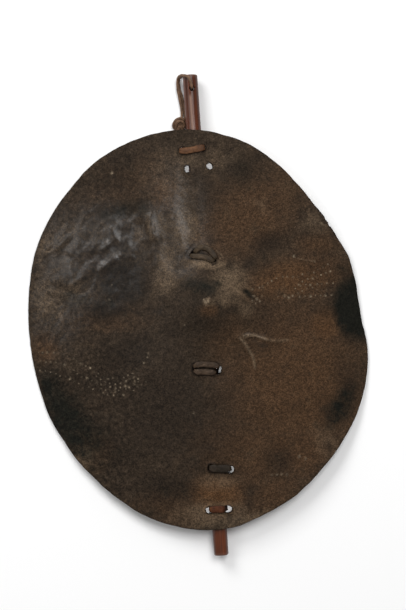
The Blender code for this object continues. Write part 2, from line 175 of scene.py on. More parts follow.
def from_line(x, y, route):
    """Each place's distance from a line of points in mm, and its share along the line."""
    line = smooth_line(np.array(route) * MM, 2 * MM)
    nearest = np.full(x.shape, np.inf)
    share = np.zeros(x.shape)
    for k, (a, b) in enumerate(zip(line, line[1:])):
        run = b - a
        t = np.clip(((x - a[0]) * run[0] + (y - a[1]) * run[1]) / run.dot(run), 0, 1)
        away = np.hypot(x - a[0] - t * run[0], y - a[1] - t * run[1])
        closer = away < nearest
        nearest[closer] = away[closer]
        share[closer] = (k + t[closer]) / (len(line) - 1)
    return nearest, share


def bell(value):
    """1 at zero, fading to both sides."""
    return np.exp(-(value**2))


def circle(count):
    """The angles of points spread evenly round a circle, in radians."""
    return 2 * np.pi * np.arange(count) / count


def near_turn(angle, middle, spread):
    """1 at a direction and fading to both sides; the angle in radians, the others in degrees."""
    off = (np.degrees(angle) - middle + 180) % 360 - 180
    return bell(off / spread)


def rise(value, start, end):
    """Goes smoothly from 0 to 1 as value goes from start to end."""
    t = np.clip((value - start) / (end - start), 0, 1)
    return t * t * (3 - 2 * t)


# --- Materials ---


class Finish:
    """A material's node tree, with short calls for the nodes that it uses."""

    def __init__(self, name):
        self.material = bpy.data.materials.new(name)
        self.material.use_nodes = True
        self.tree = self.material.node_tree
        self.shader = self.tree.nodes["Principled BSDF"]
        self.place = self.node("TexCoord", "Object", {})

    def put(self, socket, value):
        """Links a socket's value, or sets it."""
        if isinstance(value, bpy.types.NodeSocket):
            self.tree.links.new(value, socket)
        elif isinstance(value, tuple) and len(value) == 3 and socket.type == "RGBA":
            socket.default_value = (*value, 1.0)
        else:
            socket.default_value = value

    def node(self, kind, output, inputs, **settings):
        """One output of a new node, whose inputs are linked or set."""
        made = self.tree.nodes.new("ShaderNode" + kind)
        for name, value in settings.items():
            setattr(made, name, value)
        for socket, value in inputs.items():
            self.put(made.inputs[socket], value)
        return made.outputs[output]

    def attribute(self, name):
        return self.node("Attribute", "Fac", {}, attribute_name=name)

    def stretched(self, place, scale):
        return self.node("Mapping", "Vector", {"Vector": place, "Scale": scale})

    def noise(self, scale, detail, roughness, place=None):
        inputs = {"Scale": scale, "Detail": detail, "Roughness": roughness}
        inputs["Vector"] = self.place if place is None else place
        return self.node("TexNoise", "Fac", inputs)

    def plus(self, a, b):
        return self.node("Math", 0, {0: a, 1: b}, operation="ADD")

    def times(self, a, b):
        return self.node("Math", 0, {0: a, 1: b}, operation="MULTIPLY")

    def fit(self, value, low, high, start=0.0, end=1.0):
        """The value moved from low..high to start..end, and kept there."""
        inputs = {"Value": value, "From Min": low, "From Max": high, "To Min": start, "To Max": end}
        return self.node("MapRange", "Result", inputs)

    def mix(self, share, a, b, blend="MIX"):
        inputs = {"Factor": share, 6: a, 7: b}
        return self.node("Mix", 2, inputs, data_type="RGBA", blend_type=blend)

    def bump(self, height, distance, strength, before=None):
        inputs = {"Height": height, "Distance": distance, "Strength": strength}
        if before is not None:
            inputs["Normal"] = before
        return self.node("Bump", "Normal", inputs)

    def finish(self, color, roughness, normal, specular):
        self.put(self.shader.inputs["Base Color"], color)
        self.put(self.shader.inputs["Roughness"], roughness)
        self.put(self.shader.inputs["Normal"], normal)
        self.shader.inputs["Specular IOR Level"].default_value = specular
        return self.material


DARK_HIDE = (0.0200, 0.0135, 0.0086)
LIGHT_HIDE = (0.0290, 0.0198, 0.0128)
DUSTY_HIDE = (0.0380, 0.0272, 0.0185)
DARK_FLESH = (0.070, 0.045, 0.027)
LIGHT_FLESH = (0.125, 0.083, 0.050)
# Painted shade for the hole walls, the rings round the holes and the lines along the thongs; it also
# darkens the rim's wall a little.
PAINTED_SHADE_AND_GRIME = (0.007, 0.0045, 0.003)
DOT_COLOR = (0.165, 0.130, 0.088)
COAT_ROUGHNESS = 0.25
STAINS = [  # from the lowest up: (field, colour, where it starts, where it is full, how ragged)
    ("warm", (0.0650, 0.0320, 0.0138), 0.05, 1.05, 0.16),
    # pale wear, partly painted sheen and highlights
    ("pale", (0.1150, 0.0800, 0.0500), 0.05, 1.05, 0.16),
    ("dim", (0.0115, 0.0082, 0.0056), 0.05, 1.05, 0.16),
    ("soot", (0.0062, 0.0060, 0.0042), 0.12, 0.98, 0.30),
]


def hide_finish():
    """Old dark rawhide: grey-brown, warm where it is worn, sooty in patches, glossy where rubbed, with
    pale wear partly painted as sheen, and painted shade round the holes and along the thongs.
    """
    look = Finish("worn_rawhide")
    mottle = look.noise(24, 6.0, 0.6)
    blotch = look.noise(70, 6.0, 0.68)
    flecks = look.noise(210, 5.0, 0.7)
    grain = look.noise(460, 5.0, 0.7)
    pores = look.node("TexVoronoi", "Distance", {"Vector": look.place, "Scale": 560}, feature="F1")

    base = look.mix(look.fit(mottle, 0.34, 0.66), DARK_HIDE, LIGHT_HIDE)
    color = look.mix(look.fit(blotch, 0.42, 0.70, 0.0, 0.40), base, DUSTY_HIDE)
    for name, tint, low, high, ragged in STAINS:
        broken = look.plus(look.attribute(name), look.fit(blotch, 0.3, 0.7, -ragged, ragged))
        broken = look.plus(broken, look.fit(mottle, 0.3, 0.7, -ragged, ragged))
        color = look.mix(look.fit(broken, low, high), color, tint)
    bare = look.mix(look.fit(mottle, 0.36, 0.64), DARK_FLESH, LIGHT_FLESH)
    color = look.mix(look.attribute("flesh"), color, bare)
    # painted shade: hole walls, dark rings round the holes and shadow lines along the thongs
    color = look.mix(look.attribute("edge"), color, PAINTED_SHADE_AND_GRIME)
    dots = look.times(look.attribute("dots"), look.fit(flecks, 0.35, 0.65, 0.36, 1.0))
    color = look.mix(dots, color, DOT_COLOR)
    speckle = look.fit(grain, 0.37, 0.63, 0.54, 1.82)
    speckle = look.times(speckle, look.fit(flecks, 0.36, 0.64, 0.66, 1.36))
    across = look.node("SeparateXYZ", "X", {0: look.place})
    left = look.fit(across, -0.15, 0.03, 1.0, 0.0)  # the grain is coarser on the left half
    pebbles = look.fit(look.noise(150, 2.0, 0.5), 0.34, 0.66, -0.34, 0.34)
    pebbles = look.plus(look.times(left, pebbles), 1.0)
    speckle = look.times(speckle, pebbles)
    tone = look.node("CombineColor", 0, {0: speckle, 1: speckle, 2: speckle})
    color = look.mix(1.0, color, tone, "MULTIPLY")
    gloss = look.times(look.attribute("gloss"), look.fit(blotch, 0.3, 0.65, 0.5, 1.0))
    look.put(look.shader.inputs["Coat Weight"], look.fit(gloss, 0.0, 1.0, 0.0, 0.80))
    look.shader.inputs["Coat Roughness"].default_value = COAT_ROUGHNESS
    roughness = look.fit(gloss, 0.0, 1.0, 0.70, 0.40)
    wrinkled = look.bump(blotch, 0.0016, 0.40)
    normal = look.bump(pores, 0.0006, 0.4, wrinkled)
    normal = look.bump(grain, 0.0010, 0.5, normal)
    pebbled = look.bump(flecks, 0.0007, 0.5, look.bump(blotch, 0.0010, 0.4))
    look.put(look.shader.inputs["Coat Normal"], pebbled)
    return look.finish(color, roughness, normal, 0.07)


DARK_WOOD = (0.0360, 0.0092, 0.0038)
LIGHT_WOOD = (0.1500, 0.0400, 0.0145)
BROWN_WOOD = (0.0600, 0.0220, 0.0120)
WOOD_FIBRE = (0.012, 0.0045, 0.0030)
WORN_WOOD_AND_HIGHLIGHT = (0.26, 0.165, 0.125)
BORE_PAINTED_SHADE = (0.008, 0.003, 0.0015)


def wood_finish():
    """A dark red-brown peeled rod, polished by hands, with fine straight grain, a painted highlight streak
    along its top and painted shade in its bore.
    """
    look = Finish("polished_stick")
    fibres = look.noise(1.0, 5.0, 0.6, look.stretched(look.place, (420, 9, 420)))
    streaks = look.noise(1.0, 3.0, 0.5, look.stretched(look.place, (110, 4.5, 110)))
    blotch = look.noise(34, 4.0, 0.6)
    color = look.mix(look.fit(streaks, 0.3, 0.7), DARK_WOOD, LIGHT_WOOD)
    color = look.mix(look.fit(blotch, 0.45, 0.75, 0.0, 0.5), color, BROWN_WOOD)
    color = look.mix(look.fit(fibres, 0.50, 0.72, 0.0, 0.75), color, WOOD_FIBRE)
    # worn ends, and a painted highlight streak along the rod's top
    color = look.mix(look.attribute("worn"), color, WORN_WOOD_AND_HIGHLIGHT)
    # painted shade on the bore's wall
    color = look.mix(look.attribute("inside"), color, BORE_PAINTED_SHADE)
    roughness = look.fit(blotch, 0.3, 0.7, 0.24, 0.36)
    normal = look.bump(fibres, 0.0004, 0.35)
    return look.finish(color, roughness, normal, 0.28)


LEATHERS = {  # name: (dark, light, worn colour, lowest roughness)
    "tan_leather": ((0.0822, 0.0452, 0.0260), (0.1713, 0.0986, 0.0589), (0.2603, 0.1713, 0.1165), 0.42),
    "brown_leather": ((0.0630, 0.0274, 0.0123), (0.1315, 0.0603, 0.0281), (0.1781, 0.0959, 0.0521), 0.45),
    "red_leather": ((0.0411, 0.0121, 0.0047), (0.0740, 0.0233, 0.0088), (0.1028, 0.0466, 0.0178), 0.45),
    "olive_leather": ((0.0300, 0.0200, 0.0117), (0.0640, 0.0435, 0.0260), (0.1250, 0.0860, 0.0530), 0.45),
    "umber_leather": ((0.0274, 0.0164, 0.0096), (0.0548, 0.0349, 0.0212), (0.1165, 0.0795, 0.0548), 0.48),
    "dark_leather": ((0.0151, 0.0104, 0.0066), (0.0288, 0.0199, 0.0129), (0.0493, 0.0370, 0.0247), 0.48),
}


def thong_finish(name):
    """A leather strip with lengthwise fibres; across and along are its own coordinates."""
    dark, light, worn, rough = LEATHERS[name]
    look = Finish(name)
    strip = look.node("CombineXYZ", 0, {0: look.attribute("along"), 1: look.attribute("across")})
    fibres = look.noise(1.0, 4.0, 0.6, look.stretched(strip, (70, 900, 1)))
    blotch = look.noise(160, 4.0, 0.6)
    color = look.mix(look.fit(blotch, 0.38, 0.64), dark, light)
    color = look.mix(look.fit(fibres, 0.5, 0.75, 0.0, 0.7), color, worn)
    # painted shade on the thong's edges, underside and in its holes, and darker towards its right end
    color = look.mix(look.attribute("shade"), color, tuple(0.35 * v for v in dark))
    normal = look.bump(fibres, 0.0009, 0.7)
    return look.finish(color, look.fit(blotch, 0.3, 0.7, rough, rough + 0.15), normal, 0.12)


# --- Mesh helpers ---


def add_object(name, data):
    """A new object in the scene."""
    made = bpy.data.objects.new(name, data)
    bpy.context.collection.objects.link(made)
    return made


def add_piece(name, shell, finish, slot, *nodes):
    """Links a shell's mesh as the piece that stands for a CAD node."""
    piece = add_object(name, shell.mesh(name))
    piece.data.materials.append(finish)
    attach(piece, "root")
    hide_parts(*nodes)
    return piece


def cut(piece, cutter_mesh):
    """Takes a cutter's shape out of a piece for good."""
    cutter = add_object("cutter", cutter_mesh)
    modifier = piece.modifiers.new("cut", "BOOLEAN")
    modifier.operation = "DIFFERENCE"
    modifier.solver = "EXACT"
    modifier.object = cutter
    graph = bpy.context.evaluated_depsgraph_get()
    made = bpy.data.meshes.new_from_object(piece.evaluated_get(graph))
    piece.modifiers.clear()
    piece.data = made
    bpy.data.objects.remove(cutter)


class Shell:
    """Points, faces and fields of a mesh, gathered part by part."""

    def __init__(self, *fields):
        self.points, self.faces = [], []
        self.fields = {name: [] for name in fields}

    def add(self, points, faces, **fields):
        start = len(self.points)
        self.points += [tuple(p) for p in points]
        self.faces += [tuple(start + k for k in face) for face in faces]
        for name, gathered in self.fields.items():
            values = fields.get(name, 0.0)
            gathered += [float(v) for v in np.broadcast_to(values, len(points))]
        return start

    def mesh(self, name):
        """A smooth mesh with the number fields as point attributes."""
        made = bpy.data.meshes.new(name)
        made.from_pydata(self.points, [], self.faces)
        for field, values in self.fields.items():
            made.attributes.new(field, "FLOAT", "POINT").data.foreach_set("value", values)
        made.shade_smooth()
        return made


def ring_faces(rings, sides, closed=False):
    """Faces between rings of the same number of points, in order."""
    faces = []
    for ring in range(rings if closed else rings - 1):
        near, far = ring * sides, (ring + 1) % rings * sides
        for k in range(sides):
            after = (k + 1) % sides
            faces.append((near + k, near + after, far + after, far + k))
    return faces


def strip_shell():
    """An empty shell for thongs."""
    return Shell("along", "across", "shade")


def add_strip(shell, rings, closed=False, shade=0.0):
    """A strip or tube through rings of points; open ends are closed by a fan of triangles."""
    rings = np.array(rings)
    count, sides = rings.shape[:2]
    middles = rings.mean(axis=1)
    along = np.repeat(along_line(middles), sides)
    round_it = np.linalg.norm(np.roll(rings, -1, axis=1) - rings, axis=2).cumsum(axis=1)
    points = rings.reshape(-1, 3)
    faces = ring_faces(count, sides, closed)
    shades = np.broadcast_to(shade, (count, sides)).reshape(-1)
    across = round_it.reshape(-1)
    if not closed:
        points = np.vstack([points, middles[:1], middles[-1:]])
        along = np.append(along, [along[0], along[-1]])
        across = np.append(across, [0, 0])
        shades = np.append(shades, [shades[0], shades[-1]])
        first, last = count * sides, count * sides + 1
        end = first - sides
        for k in range(sides):
            after = (k + 1) % sides
            faces.append((first, after, k))
            faces.append((last, end + k, end + after))
    shell.add(points, faces, along=along, across=across, shade=shades)


# --- The hide ---


def rim_radius(angle):
    """The outline's radius at angles in radians."""
    place = np.degrees(angle) % 360 / 360 * len(RIM_RADII)
    i = place.astype(int)
    around = (RIM_RADII[(i + k) % len(RIM_RADII)] for k in (-1, 0, 1, 2))
    return catmull_rom(*around, place - i)


RIM_WEAR = [  # (angle in degrees, spread in degrees, how far out in mm)
    (9, 4, -1.4), (24, 4, 2.2), (40, 2.5, 1.2), (55, 2, -0.8), (80, 3, -1.0), (128, 5, -1.7),
    (204, 4, 0.9), (215, 3, -1.2), (230, 3, -1.2), (247, 5, 1.0), (276, 3, 1.5), (295, 3, 1.2),
    (307, 4, -1.0), (353, 5, 1.8), (36.2, 0.7, -1.6), (38.6, 0.5, -1.2), (31.0, 0.9, -1.0),
]  # fmt: skip


RIM_RIPPLE = 0.30 * MM


def worn_rim_radius(angle):
    """The outline with its small bulges, hollows and nicks."""
    radius = rim_radius(angle)
    for middle, spread, out in RIM_WEAR:
        radius = radius + out * MM * near_turn(angle, middle, spread)
    x, y = np.cos(angle), np.sin(angle)
    return radius + noise_field(x, y, 0.045, 3.0, 2) * RIM_RIPPLE


def sheet_heights(x, y):
    """The underside's and the face's height, as the solid has them."""
    out_x, out_y = x - RIM_CENTRE.x, y - RIM_CENTRE.y
    angle = np.arctan2(out_y, out_x)
    share = np.minimum(np.hypot(out_x, out_y) / rim_radius(angle), 1.0)
    reach = np.where(x < STICK_X, LEFT_REACH, RIGHT_REACH)
    arch = np.maximum(1 - (np.abs(x - STICK_X) / reach) ** ARCH_POWER, 0.0)
    dome = (1 - share**2) ** DOME_POWER
    boss = np.exp(-(((x - BOSS.x) ** 2 + (y - BOSS.y) ** 2) / BOSS_RADIUS**2))
    lift = np.zeros_like(x)
    for middle, spread, height in RIM_LIFTS:
        lift += height * near_turn(angle, middle, spread) * share**3
    under = RIDGE_Z * arch + DOME_RISE * dome + BOSS_RISE * boss + lift
    return under, under + HIDE_THICKNESS - RIM_THINNING * share**4


# The holes: (x, y, half width, half height, turn in degrees, height of the lip) in mm.
HOLES = [
    (-4.8, 273.9, 6.2, 6.0, 0, 0.7),
    (27.4, 275.4, 6.2, 6.0, 0, 0.8),
    (2.2, 103.2, 10.4, 4.0, 46, 1.1),
    (33.4, 90.4, 5.2, 6.2, -20, 1.4),
    (-6.3, -86.2, 5.4, 8.4, 6, 0.9),
    (29.6, -91.0, 5.8, 7.8, -12, 0.9),
    (8.6, -251.9, 6.2, 6.6, 0, 0.9),
    (39.5, -256.9, 6.2, 6.6, -20, 0.9),
    (0.6, -321.9, 6.0, 5.8, 0, 0.6),
    (30.6, -322.2, 8.0, 5.8, 0, 0.6),
    (1.1, 242.4, 4.5, 6.2, 8, 0.7),
    (37.8, 244.8, 4.8, 5.6, 20, 0.7),
]
HOLE_POINTS = 28
LIP_RINGS = (0.9, 1.9, 3.2, 4.9)  # rings of points outside a hole, in mm from its edge

LIP_WIDTH = 2.6
PULL_DEPTH, PULL_PLACE, PULL_WIDTH = 0.8, 7, 5  # the hide's shallow pull outside a lip, in mm
# How wide the painted shade round each hole is, in mm.
HOLE_SHADE_WIDTH = 1.5

# Broad dents and swellings: (x, y, half length, half width, turn, height) in mm.
SWELLS = [
    (-122, 62, 44, 36, 30, -4.0),
    (-103, 180, 46, 16, 10, -2.2),
    (-139, 33, 16, 10, 0, -1.4),
    (-200, 42, 34, 14, -8, -1.8),
    (-182, 128, 30, 26, 0, 1.6),
    (-186, 80, 32, 14, 14, 1.8),
    (-231, 84, 14, 18, 0, 1.2),
    (-40, 170, 26, 70, 0, 1.2),
    (90, 233, 26, 20, 0, -1.6),
    (70, 266, 10, 8, 0, -0.9),
    (128, 113, 28, 18, 10, -1.6),
    (93, 80, 12, 14, 0, -0.9),
    (88, 31, 13, 5.5, -42, -2.2),
    (-232, -158, 76, 36, -60, -1.6),
    (122, -245, 30, 26, 0, -1.2),
    (232, -150, 40, 30, -50, -1.2),
    (-60, -280, 40, 22, -20, -1.2),
    (-110, -60, 60, 34, 20, -1.4),
    (150, -120, 80, 60, 30, 1.6),
    (20, -185, 22, 30, 0, -1.0),
]

# Creases and folds: (points, half width, height) in mm.
CREASES = [
    ([(16, 96), (16, 150), (17, 200), (17, 262)], 15, 1.7),
    ([(14, -104), (13, -150), (15, -200), (16, -242)], 16, 0.8),
    ([(74, -39), (84, -37.5), (95, -39), (105, -43), (114, -47), (126, -50), (148, -50)], 3.0, 2.4),
    ([(80, -46), (92, -46), (104, -50), (116, -55)], 3.4, -1.2),
    ([(64, -40), (73, -49), (80, -61), (87, -74), (90, -89), (91, -112)], 2.6, 1.9),
    ([(60, -45), (69, -54), (75, -67), (82, -81), (85, -101)], 3.2, -1.4),
    ([(-64, 176), (-65, 154), (-61, 126)], 7.0, 3.2),
    ([(-77, 168), (-79, 150), (-75, 130)], 7.0, -1.8),
    ([(-160, 112), (-146, 122), (-127, 137)], 6.5, 2.8),
    ([(-160, 80), (-143, 93), (-123, 108)], 7.0, 3.8),
    ([(-176, 100), (-160, 112), (-144, 126)], 6.0, -1.4),
    ([(-229, 122), (-214, 135), (-197, 149)], 6.0, 2.6),
    ([(-242, 70), (-228, 60), (-210, 53), (-190, 50), (-172, 54)], 5.0, -1.3),
    ([(-220, 70), (-204, 66), (-188, 72), (-172, 86)], 6.0, 1.5),
    ([(-104, 156), (-106, 134), (-98, 108)], 8.0, 1.9),
    ([(-130, 160), (-128, 144), (-118, 124)], 7.0, 1.7),
    ([(-52, 124), (-55, 96), (-46, 78), (-38, 58), (-44, 30)], 9.0, 1.9),
    ([(-28, 200), (-24, 165), (-18, 130), (-22, 100)], 12.0, 1.6),
    ([(-268, 130), (-254, 129), (-244, 123), (-234, 124)], 1.6, -0.9),
    ([(212, 143), (219, 138), (228, 134)], 1.4, -0.8),
    ([(176, 84), (186, 81), (203, 77)], 0.9, 0.6),
]

# Stippled dots, as rows that hang like swags: points in mm.
DOT_ROWS = [
    [(-268, -44), (-236, -47), (-205, -59), (-175, -80), (-156, -92), (-139, -95), (-119, -91), (-98, -78),
     (-82, -57)],
    [(-172, -90), (-155, -101), (-135, -103), (-116, -97), (-102, -88)],
    [(-264, -60), (-232, -64), (-197, -87), (-161, -104), (-140, -111), (-123, -108), (-108, -101),
     (-96, -91)],
    [(-172, -106), (-156, -115), (-136, -115), (-119, -111), (-103, -102)],
    [(-266, -74), (-238, -82), (-213, -94), (-185, -107), (-167, -115), (-149, -122), (-133, -122),
     (-117, -118), (-90, -103)],
    [(96, 37), (113, 42), (128, 49), (145, 54), (162, 54), (180, 56), (204, 62), (223, 71)],
    [(174, 40), (183, 48), (197, 50), (213, 54), (227, 60)],
    [(167, 35), (179, 40), (194, 40), (211, 39), (229, 40)],
    [(138, 24), (151, 21), (161, 22), (172, 27), (184, 33), (197, 31), (214, 29), (228, 28)],
    [(173, 20), (188, 21), (206, 20), (226, 19)],
]  # fmt: skip
DOT_PITCH = 8.6
DOT_RADIUS = 1.4
# Single marks that show like dots: (x, y, radius, strength) in mm.
SPECKS = [
    (-124, 245, 2.0, 0.9), (168, 88, 1.8, 0.8), (-55, 232, 1.2, 0.3), (155, -244, 2.0, 0.45),
    (165, -248, 2.0, 0.4), (108, -271, 1.6, 0.4), (116, -271, 1.8, 0.5), (124, -271, 1.6, 0.4),
    (132, -272, 1.6, 0.4), (-20, -14, 1.3, 0.4), (-15, -160, 1.4, 0.5), (96, 26, 1.6, 0.7),
    (101, 21, 1.6, 0.8), (94, 19, 1.4, 0.7), (106, 17, 1.3, 0.6), (110, 25, 1.2, 0.4),
    (99, 14, 1.2, 0.5), (17, 21, 1.8, 0.8), (21, 23, 1.6, 0.6), (14, 25, 1.4, 0.6),
    (-142, 36, 1.8, 0.35), (202, 76, 1.2, 0.4), (218, 139, 1.6, 0.5), (-136, 60, 1.2, 0.3),
]  # fmt: skip

# Stains and worn places, by how crisp their edges are: (x, y, half length, half width,
# turn in degrees, strength), in mm.
SOOT = {
    1.1: [(-226, -160, 92, 44, -56, 1.05)],
    1.3: [
        (228, -170, 46, 22, 50, 0.74), (-200, 40, 32, 12, -8, 0.5), (-103, 180, 44, 15, 10, 0.7),
        (92, 232, 22, 22, 0, 0.5), (45, 2, 10, 9, 0, 0.55), (-58, -282, 40, 16, -14, 0.35),
    ],
    1.4: [
        (248, 60, 16, 14, 0, 0.5), (-252, -98, 26, 28, 0, 0.85),
    ],
    1.6: [
        (-139, 31, 13, 9, 0, 0.6), (9, 46, 32, 15, -10, 0.75), (33, 50, 16, 8, 0, 0.5),
        (88, 31, 13, 5.5, -42, 0.95),
    ],
    3.2: [(267, -5, 42, 58, 0, 1.15)],
}  # fmt: skip
DIM = {
    1.2: [
        (-122, 228, 38, 22, 0, 0.58), (-125, -55, 62, 36, 15, 0.75), (6, -210, 60, 60, 0, 0.45),
        (105, -15, 40, 44, 0, 0.35), (206, 62, 30, 20, 0, 0.35), (-52, -80, 46, 44, 10, 0.35),
        (92, 232, 34, 34, 0, 0.35), (200, 128, 24, 16, 0, 0.35), (-225, 172, 46, 16, 50, 0.45),
        (-130, 225, 90, 40, 35, 0.3), (24, 200, 22, 50, 0, 0.35), (-200, 10, 60, 30, 0, 0.3),
        (-200, -20, 60, 24, 0, 0.3), (-60, 10, 60, 30, 0, 0.3),
    ],
    1.3: [
        (246, -134, 26, 20, 70, 0.66), (-134, 122, 32, 60, 0, 0.8), (12, 181, 38, 22, 0, 0.58),
        (-40, -20, 24, 20, 0, 0.55), (-178, -98, 62, 22, 0, 0.66), (20, -142, 40, 24, 0, 0.46),
        (40, -262, 26, 14, 0, 0.46), (-202, 20, 26, 20, 0, 0.52), (-124, 12, 28, 24, 0, 0.48),
        (4, -62, 24, 18, 0, 0.46), (106, -56, 13, 6, -10, 0.7), (-140, 184, 50, 22, 10, 0.62),
        (-40, 102, 13, 18, 0, 0.45), (-2, 186, 15, 20, 0, 0.45), (-112, 262, 34, 22, 30, 0.5),
        (90, -60, 50, 20, 0, 0.35), (-145, 22, 52, 26, 8, 1.0), (-150, -98, 58, 22, -8, 0.75),
        (-60, -150, 110, 90, 0, 0.6), (24, -252, 34, 20, 0, 0.5), (212, -172, 30, 18, -45, 0.35),
        (-150, -210, 70, 60, -40, 0.55), (-70, -285, 60, 30, -14, 0.65), (4, 24, 18, 28, 0, 0.5),
        (14, -16, 40, 28, 0, 0.65), (240, -112, 20, 36, 0, 0.45), (128, 113, 30, 18, 12, 0.75),
        (93, 80, 12, 14, 0, 0.7), (70, 267, 10, 8, 0, 0.6), (122, -245, 28, 28, 0, 0.6),
    ],
    1.4: [
        (-118, 62, 44, 46, 20, 1.25), (-36, 150, 50, 84, 0, 0.35),
    ],
    1.5: [(-160, 110, 96, 78, 20, 0.78)],
}  # fmt: skip
WARM = {
    1.2: [
        (205, 105, 40, 30, 0, 0.5), (125, -222, 34, 30, 0, 0.6), (-40, 206, 26, 34, 0, 0.5),
        (-165, 98, 30, 26, 0, 0.35), (212, -32, 40, 34, 0, 0.8), (145, 158, 16, 12, 0, 0.45),
        (-256, -40, 24, 24, 0, 0.5), (55, -50, 50, 70, 0, 0.42), (-150, 5, 70, 30, 0, 0.35),
        (20, 6, 16, 12, 0, 0.7), (-100, 225, 80, 40, 20, 0.25),
    ],
    1.3: [
        (22, 7, 17, 12, 0, 0.7), (-190, -215, 40, 40, -40, 0.4), (110, -300, 60, 34, 30, 0.5),
        (165, -235, 60, 44, 40, 0.62), (-40, -310, 90, 34, 0, 0.4), (165, 50, 90, 38, 8, 0.82),
    ],
    1.4: [
        (100, 160, 110, 70, 30, 0.5), (15, -297, 48, 36, 0, 1.0), (70, -230, 90, 80, 0, 0.5),
    ],
    1.6: [(155, -120, 130, 150, 0, 0.62)],
}  # fmt: skip
# Pale wear, partly painted sheen: the band left of the ridge and the patches at the upper left stand for
# light caught by the hide.
PALE_AND_SHEEN = {
    1.1: [
        (-10, 150, 24, 44, -12, 0.62), (-46, 150, 20, 26, 25, 0.42),
    ],
    1.2: [
        (-46, 62, 22, 26, -35, 0.5), (-158, 144, 30, 16, 20, 0.5), (-204, 62, 36, 24, 0, 0.46),
        (-200, 140, 34, 26, 30, 0.42), (-204, 104, 30, 24, 0, 0.4), (-205, -224, 28, 24, 0, 0.55),
        (205, 140, 26, 26, 0, 0.35), (200, -222, 28, 26, 0, 0.3), (20, -340, 60, 14, 0, 0.4),
        (-22, 225, 36, 46, 0, 0.28), (0, 250, 40, 22, 0, 0.25), (-240, 48, 26, 40, 0, 0.46),
        (-243, 136, 14, 26, -30, 0.5), (-252, 100, 16, 20, 0, 0.3), (-188, 118, 26, 30, 0, 0.25),
        (-231, 86, 12, 16, 0, 0.4), (50, 258, 30, 22, 0, 0.35), (121, 176, 16, 13, 0, 0.25),
        (48, 28, 16, 20, 0, 0.5),
    ],
    1.3: [
        (-44, 92, 16, 34, -8, 0.62), (62, 50, 28, 34, 20, 0.66), (82, 6, 14, 16, 0, 0.42),
        (27, 20, 9, 6, 40, 0.5), (-86, 140, 10, 20, 0, 0.45), (60, -345, 70, 12, 10, 0.45),
        (20, -275, 34, 16, 0, 0.35), (0, -325, 60, 20, 0, 0.5),
    ],
    1.4: [(22, 84, 36, 9, -8, 0.85)],
    1.6: [(19, 22, 8, 7, 30, 0.85)],
}  # fmt: skip
# Pale welts and scratches, and painted highlights along the crests of folds and creases.
PALE_AND_HIGHLIGHT_LINES = [  # (points, half width, strength) in mm
    ([(77, -38.5), (85, -37.5), (95, -39), (105, -43), (113, -46.5)], 2.2, 1.2),
    ([(113, -46.5), (126, -50), (148, -50)], 3.0, 0.45),
    ([(69, -41), (77, -50), (83, -62), (89, -75), (91, -92)], 2.1, 0.85),
    ([(-68, 168), (-68, 152), (-66, 134)], 5.0, 0.40),
    ([(-154, 122), (-142, 131), (-130, 141)], 4.2, 0.40),
    ([(-154, 89), (-141, 100), (-127, 111)], 4.4, 0.42),
    ([(-223, 132), (-213, 142), (-202, 152)], 4.0, 0.42),
    ([(-250, 128), (-240, 122), (-232, 125)], 1.8, 0.7),
    ([(214, 142), (220, 138), (228, 135)], 1.8, 0.7),
    ([(175, 84), (184, 81), (203, 77)], 0.9, 0.8),
    ([(44, 88), (45, 93), (43, 99)], 1.2, 0.8),
    ([(41, 104), (46, 99), (50, 93)], 1.1, 0.6),
    ([(12, 121), (20, 120), (28, 115)], 1.2, 0.6),
    ([(48, 84), (55, 78), (60, 70)], 1.2, 0.6),
    ([(34, 76), (42, 70), (50, 62)], 1.3, 0.6),
    ([(8, 82), (18, 80), (28, 78)], 1.6, 0.5),
    ([(64, 66), (72, 54), (78, 40)], 1.2, 0.5),
]
# Painted shadow on the hide along the thongs' edges.
PAINTED_SHADOW_LINES = [  # dark edges along the thongs: (points, half width, strength) in mm
    ([(-2, 97.5), (6, 99.5), (14, 100.5), (22, 97.5), (29, 92.0)], 3.2, 1.0),
    ([(-8, -87.0), (4, -87.4), (16, -88.6), (28, -89.8)], 2.4, 1.0),
    ([(-9, 267.4), (2, 266.8), (14, 268.4), (26, 270.2), (33, 271.4)], 1.5, 0.9),
    ([(-11, 102), (-8, 107), (-4, 111.5), (2, 116), (8, 118.5)], 2.0, 1.0),
    ([(37, 94), (38.5, 89), (37, 83.5), (32, 81.5)], 1.6, 0.9),
    ([(-12, -80), (-12.5, -86), (-12, -93)], 1.8, 1.0),
    ([(-2, 93.6), (8, 91.6), (18, 90), (26, 86.4), (34, 82.0)], 1.4, 0.8),
    ([(-10, -77.8), (2, -75.4), (14, -76.2), (26, -78.2), (34, -80.6)], 1.3, 0.75),
    ([(-10, -95.6), (0, -98.4), (14, -99.6), (26, -100.8)], 1.3, 0.8),
    ([(4, -245.0), (14, -246.4), (27, -248.2), (39, -249.2)], 1.3, 0.75),
    ([(4, -258.6), (14, -260.2), (27, -261.8), (38, -262.6)], 1.5, 0.85),
    ([(3, -315.0), (14, -315.0), (26, -316.0)], 1.0, 0.4),
    ([(3, -327.8), (14, -327.6), (26, -328.6)], 1.2, 0.6),
]
GLOSS = {
    1.2: [
        (-110, 0, 110, 60, 0, 0.12), (-225, 25, 54, 66, 0, 0.5), (-60, -160, 120, 90, 0, 0.06),
        (95, -41, 22, 5, -12, 0.35),
    ],
    1.3: [(-78, -28, 62, 66, 0, 0.22)],
    1.4: [(-36, 150, 50, 84, 0, 0.5)],
    1.5: [(-165, 112, 90, 80, 20, 1.0)],
}  # fmt: skip


# The crumpled places: (x, y, half length, half width, turn), how crisp, and how strong.
CRUMPLED = [((-165, 112, 100, 88, 20), 1.4, 1.25), ((-40, 130, 60, 100, 0), 1.0, 0.3)]
WRINKLE_TURN = 50  # the way the wrinkles run, in degrees
DENTS = 0.60  # heights of the uneven face, in mm
PEBBLES = 0.20


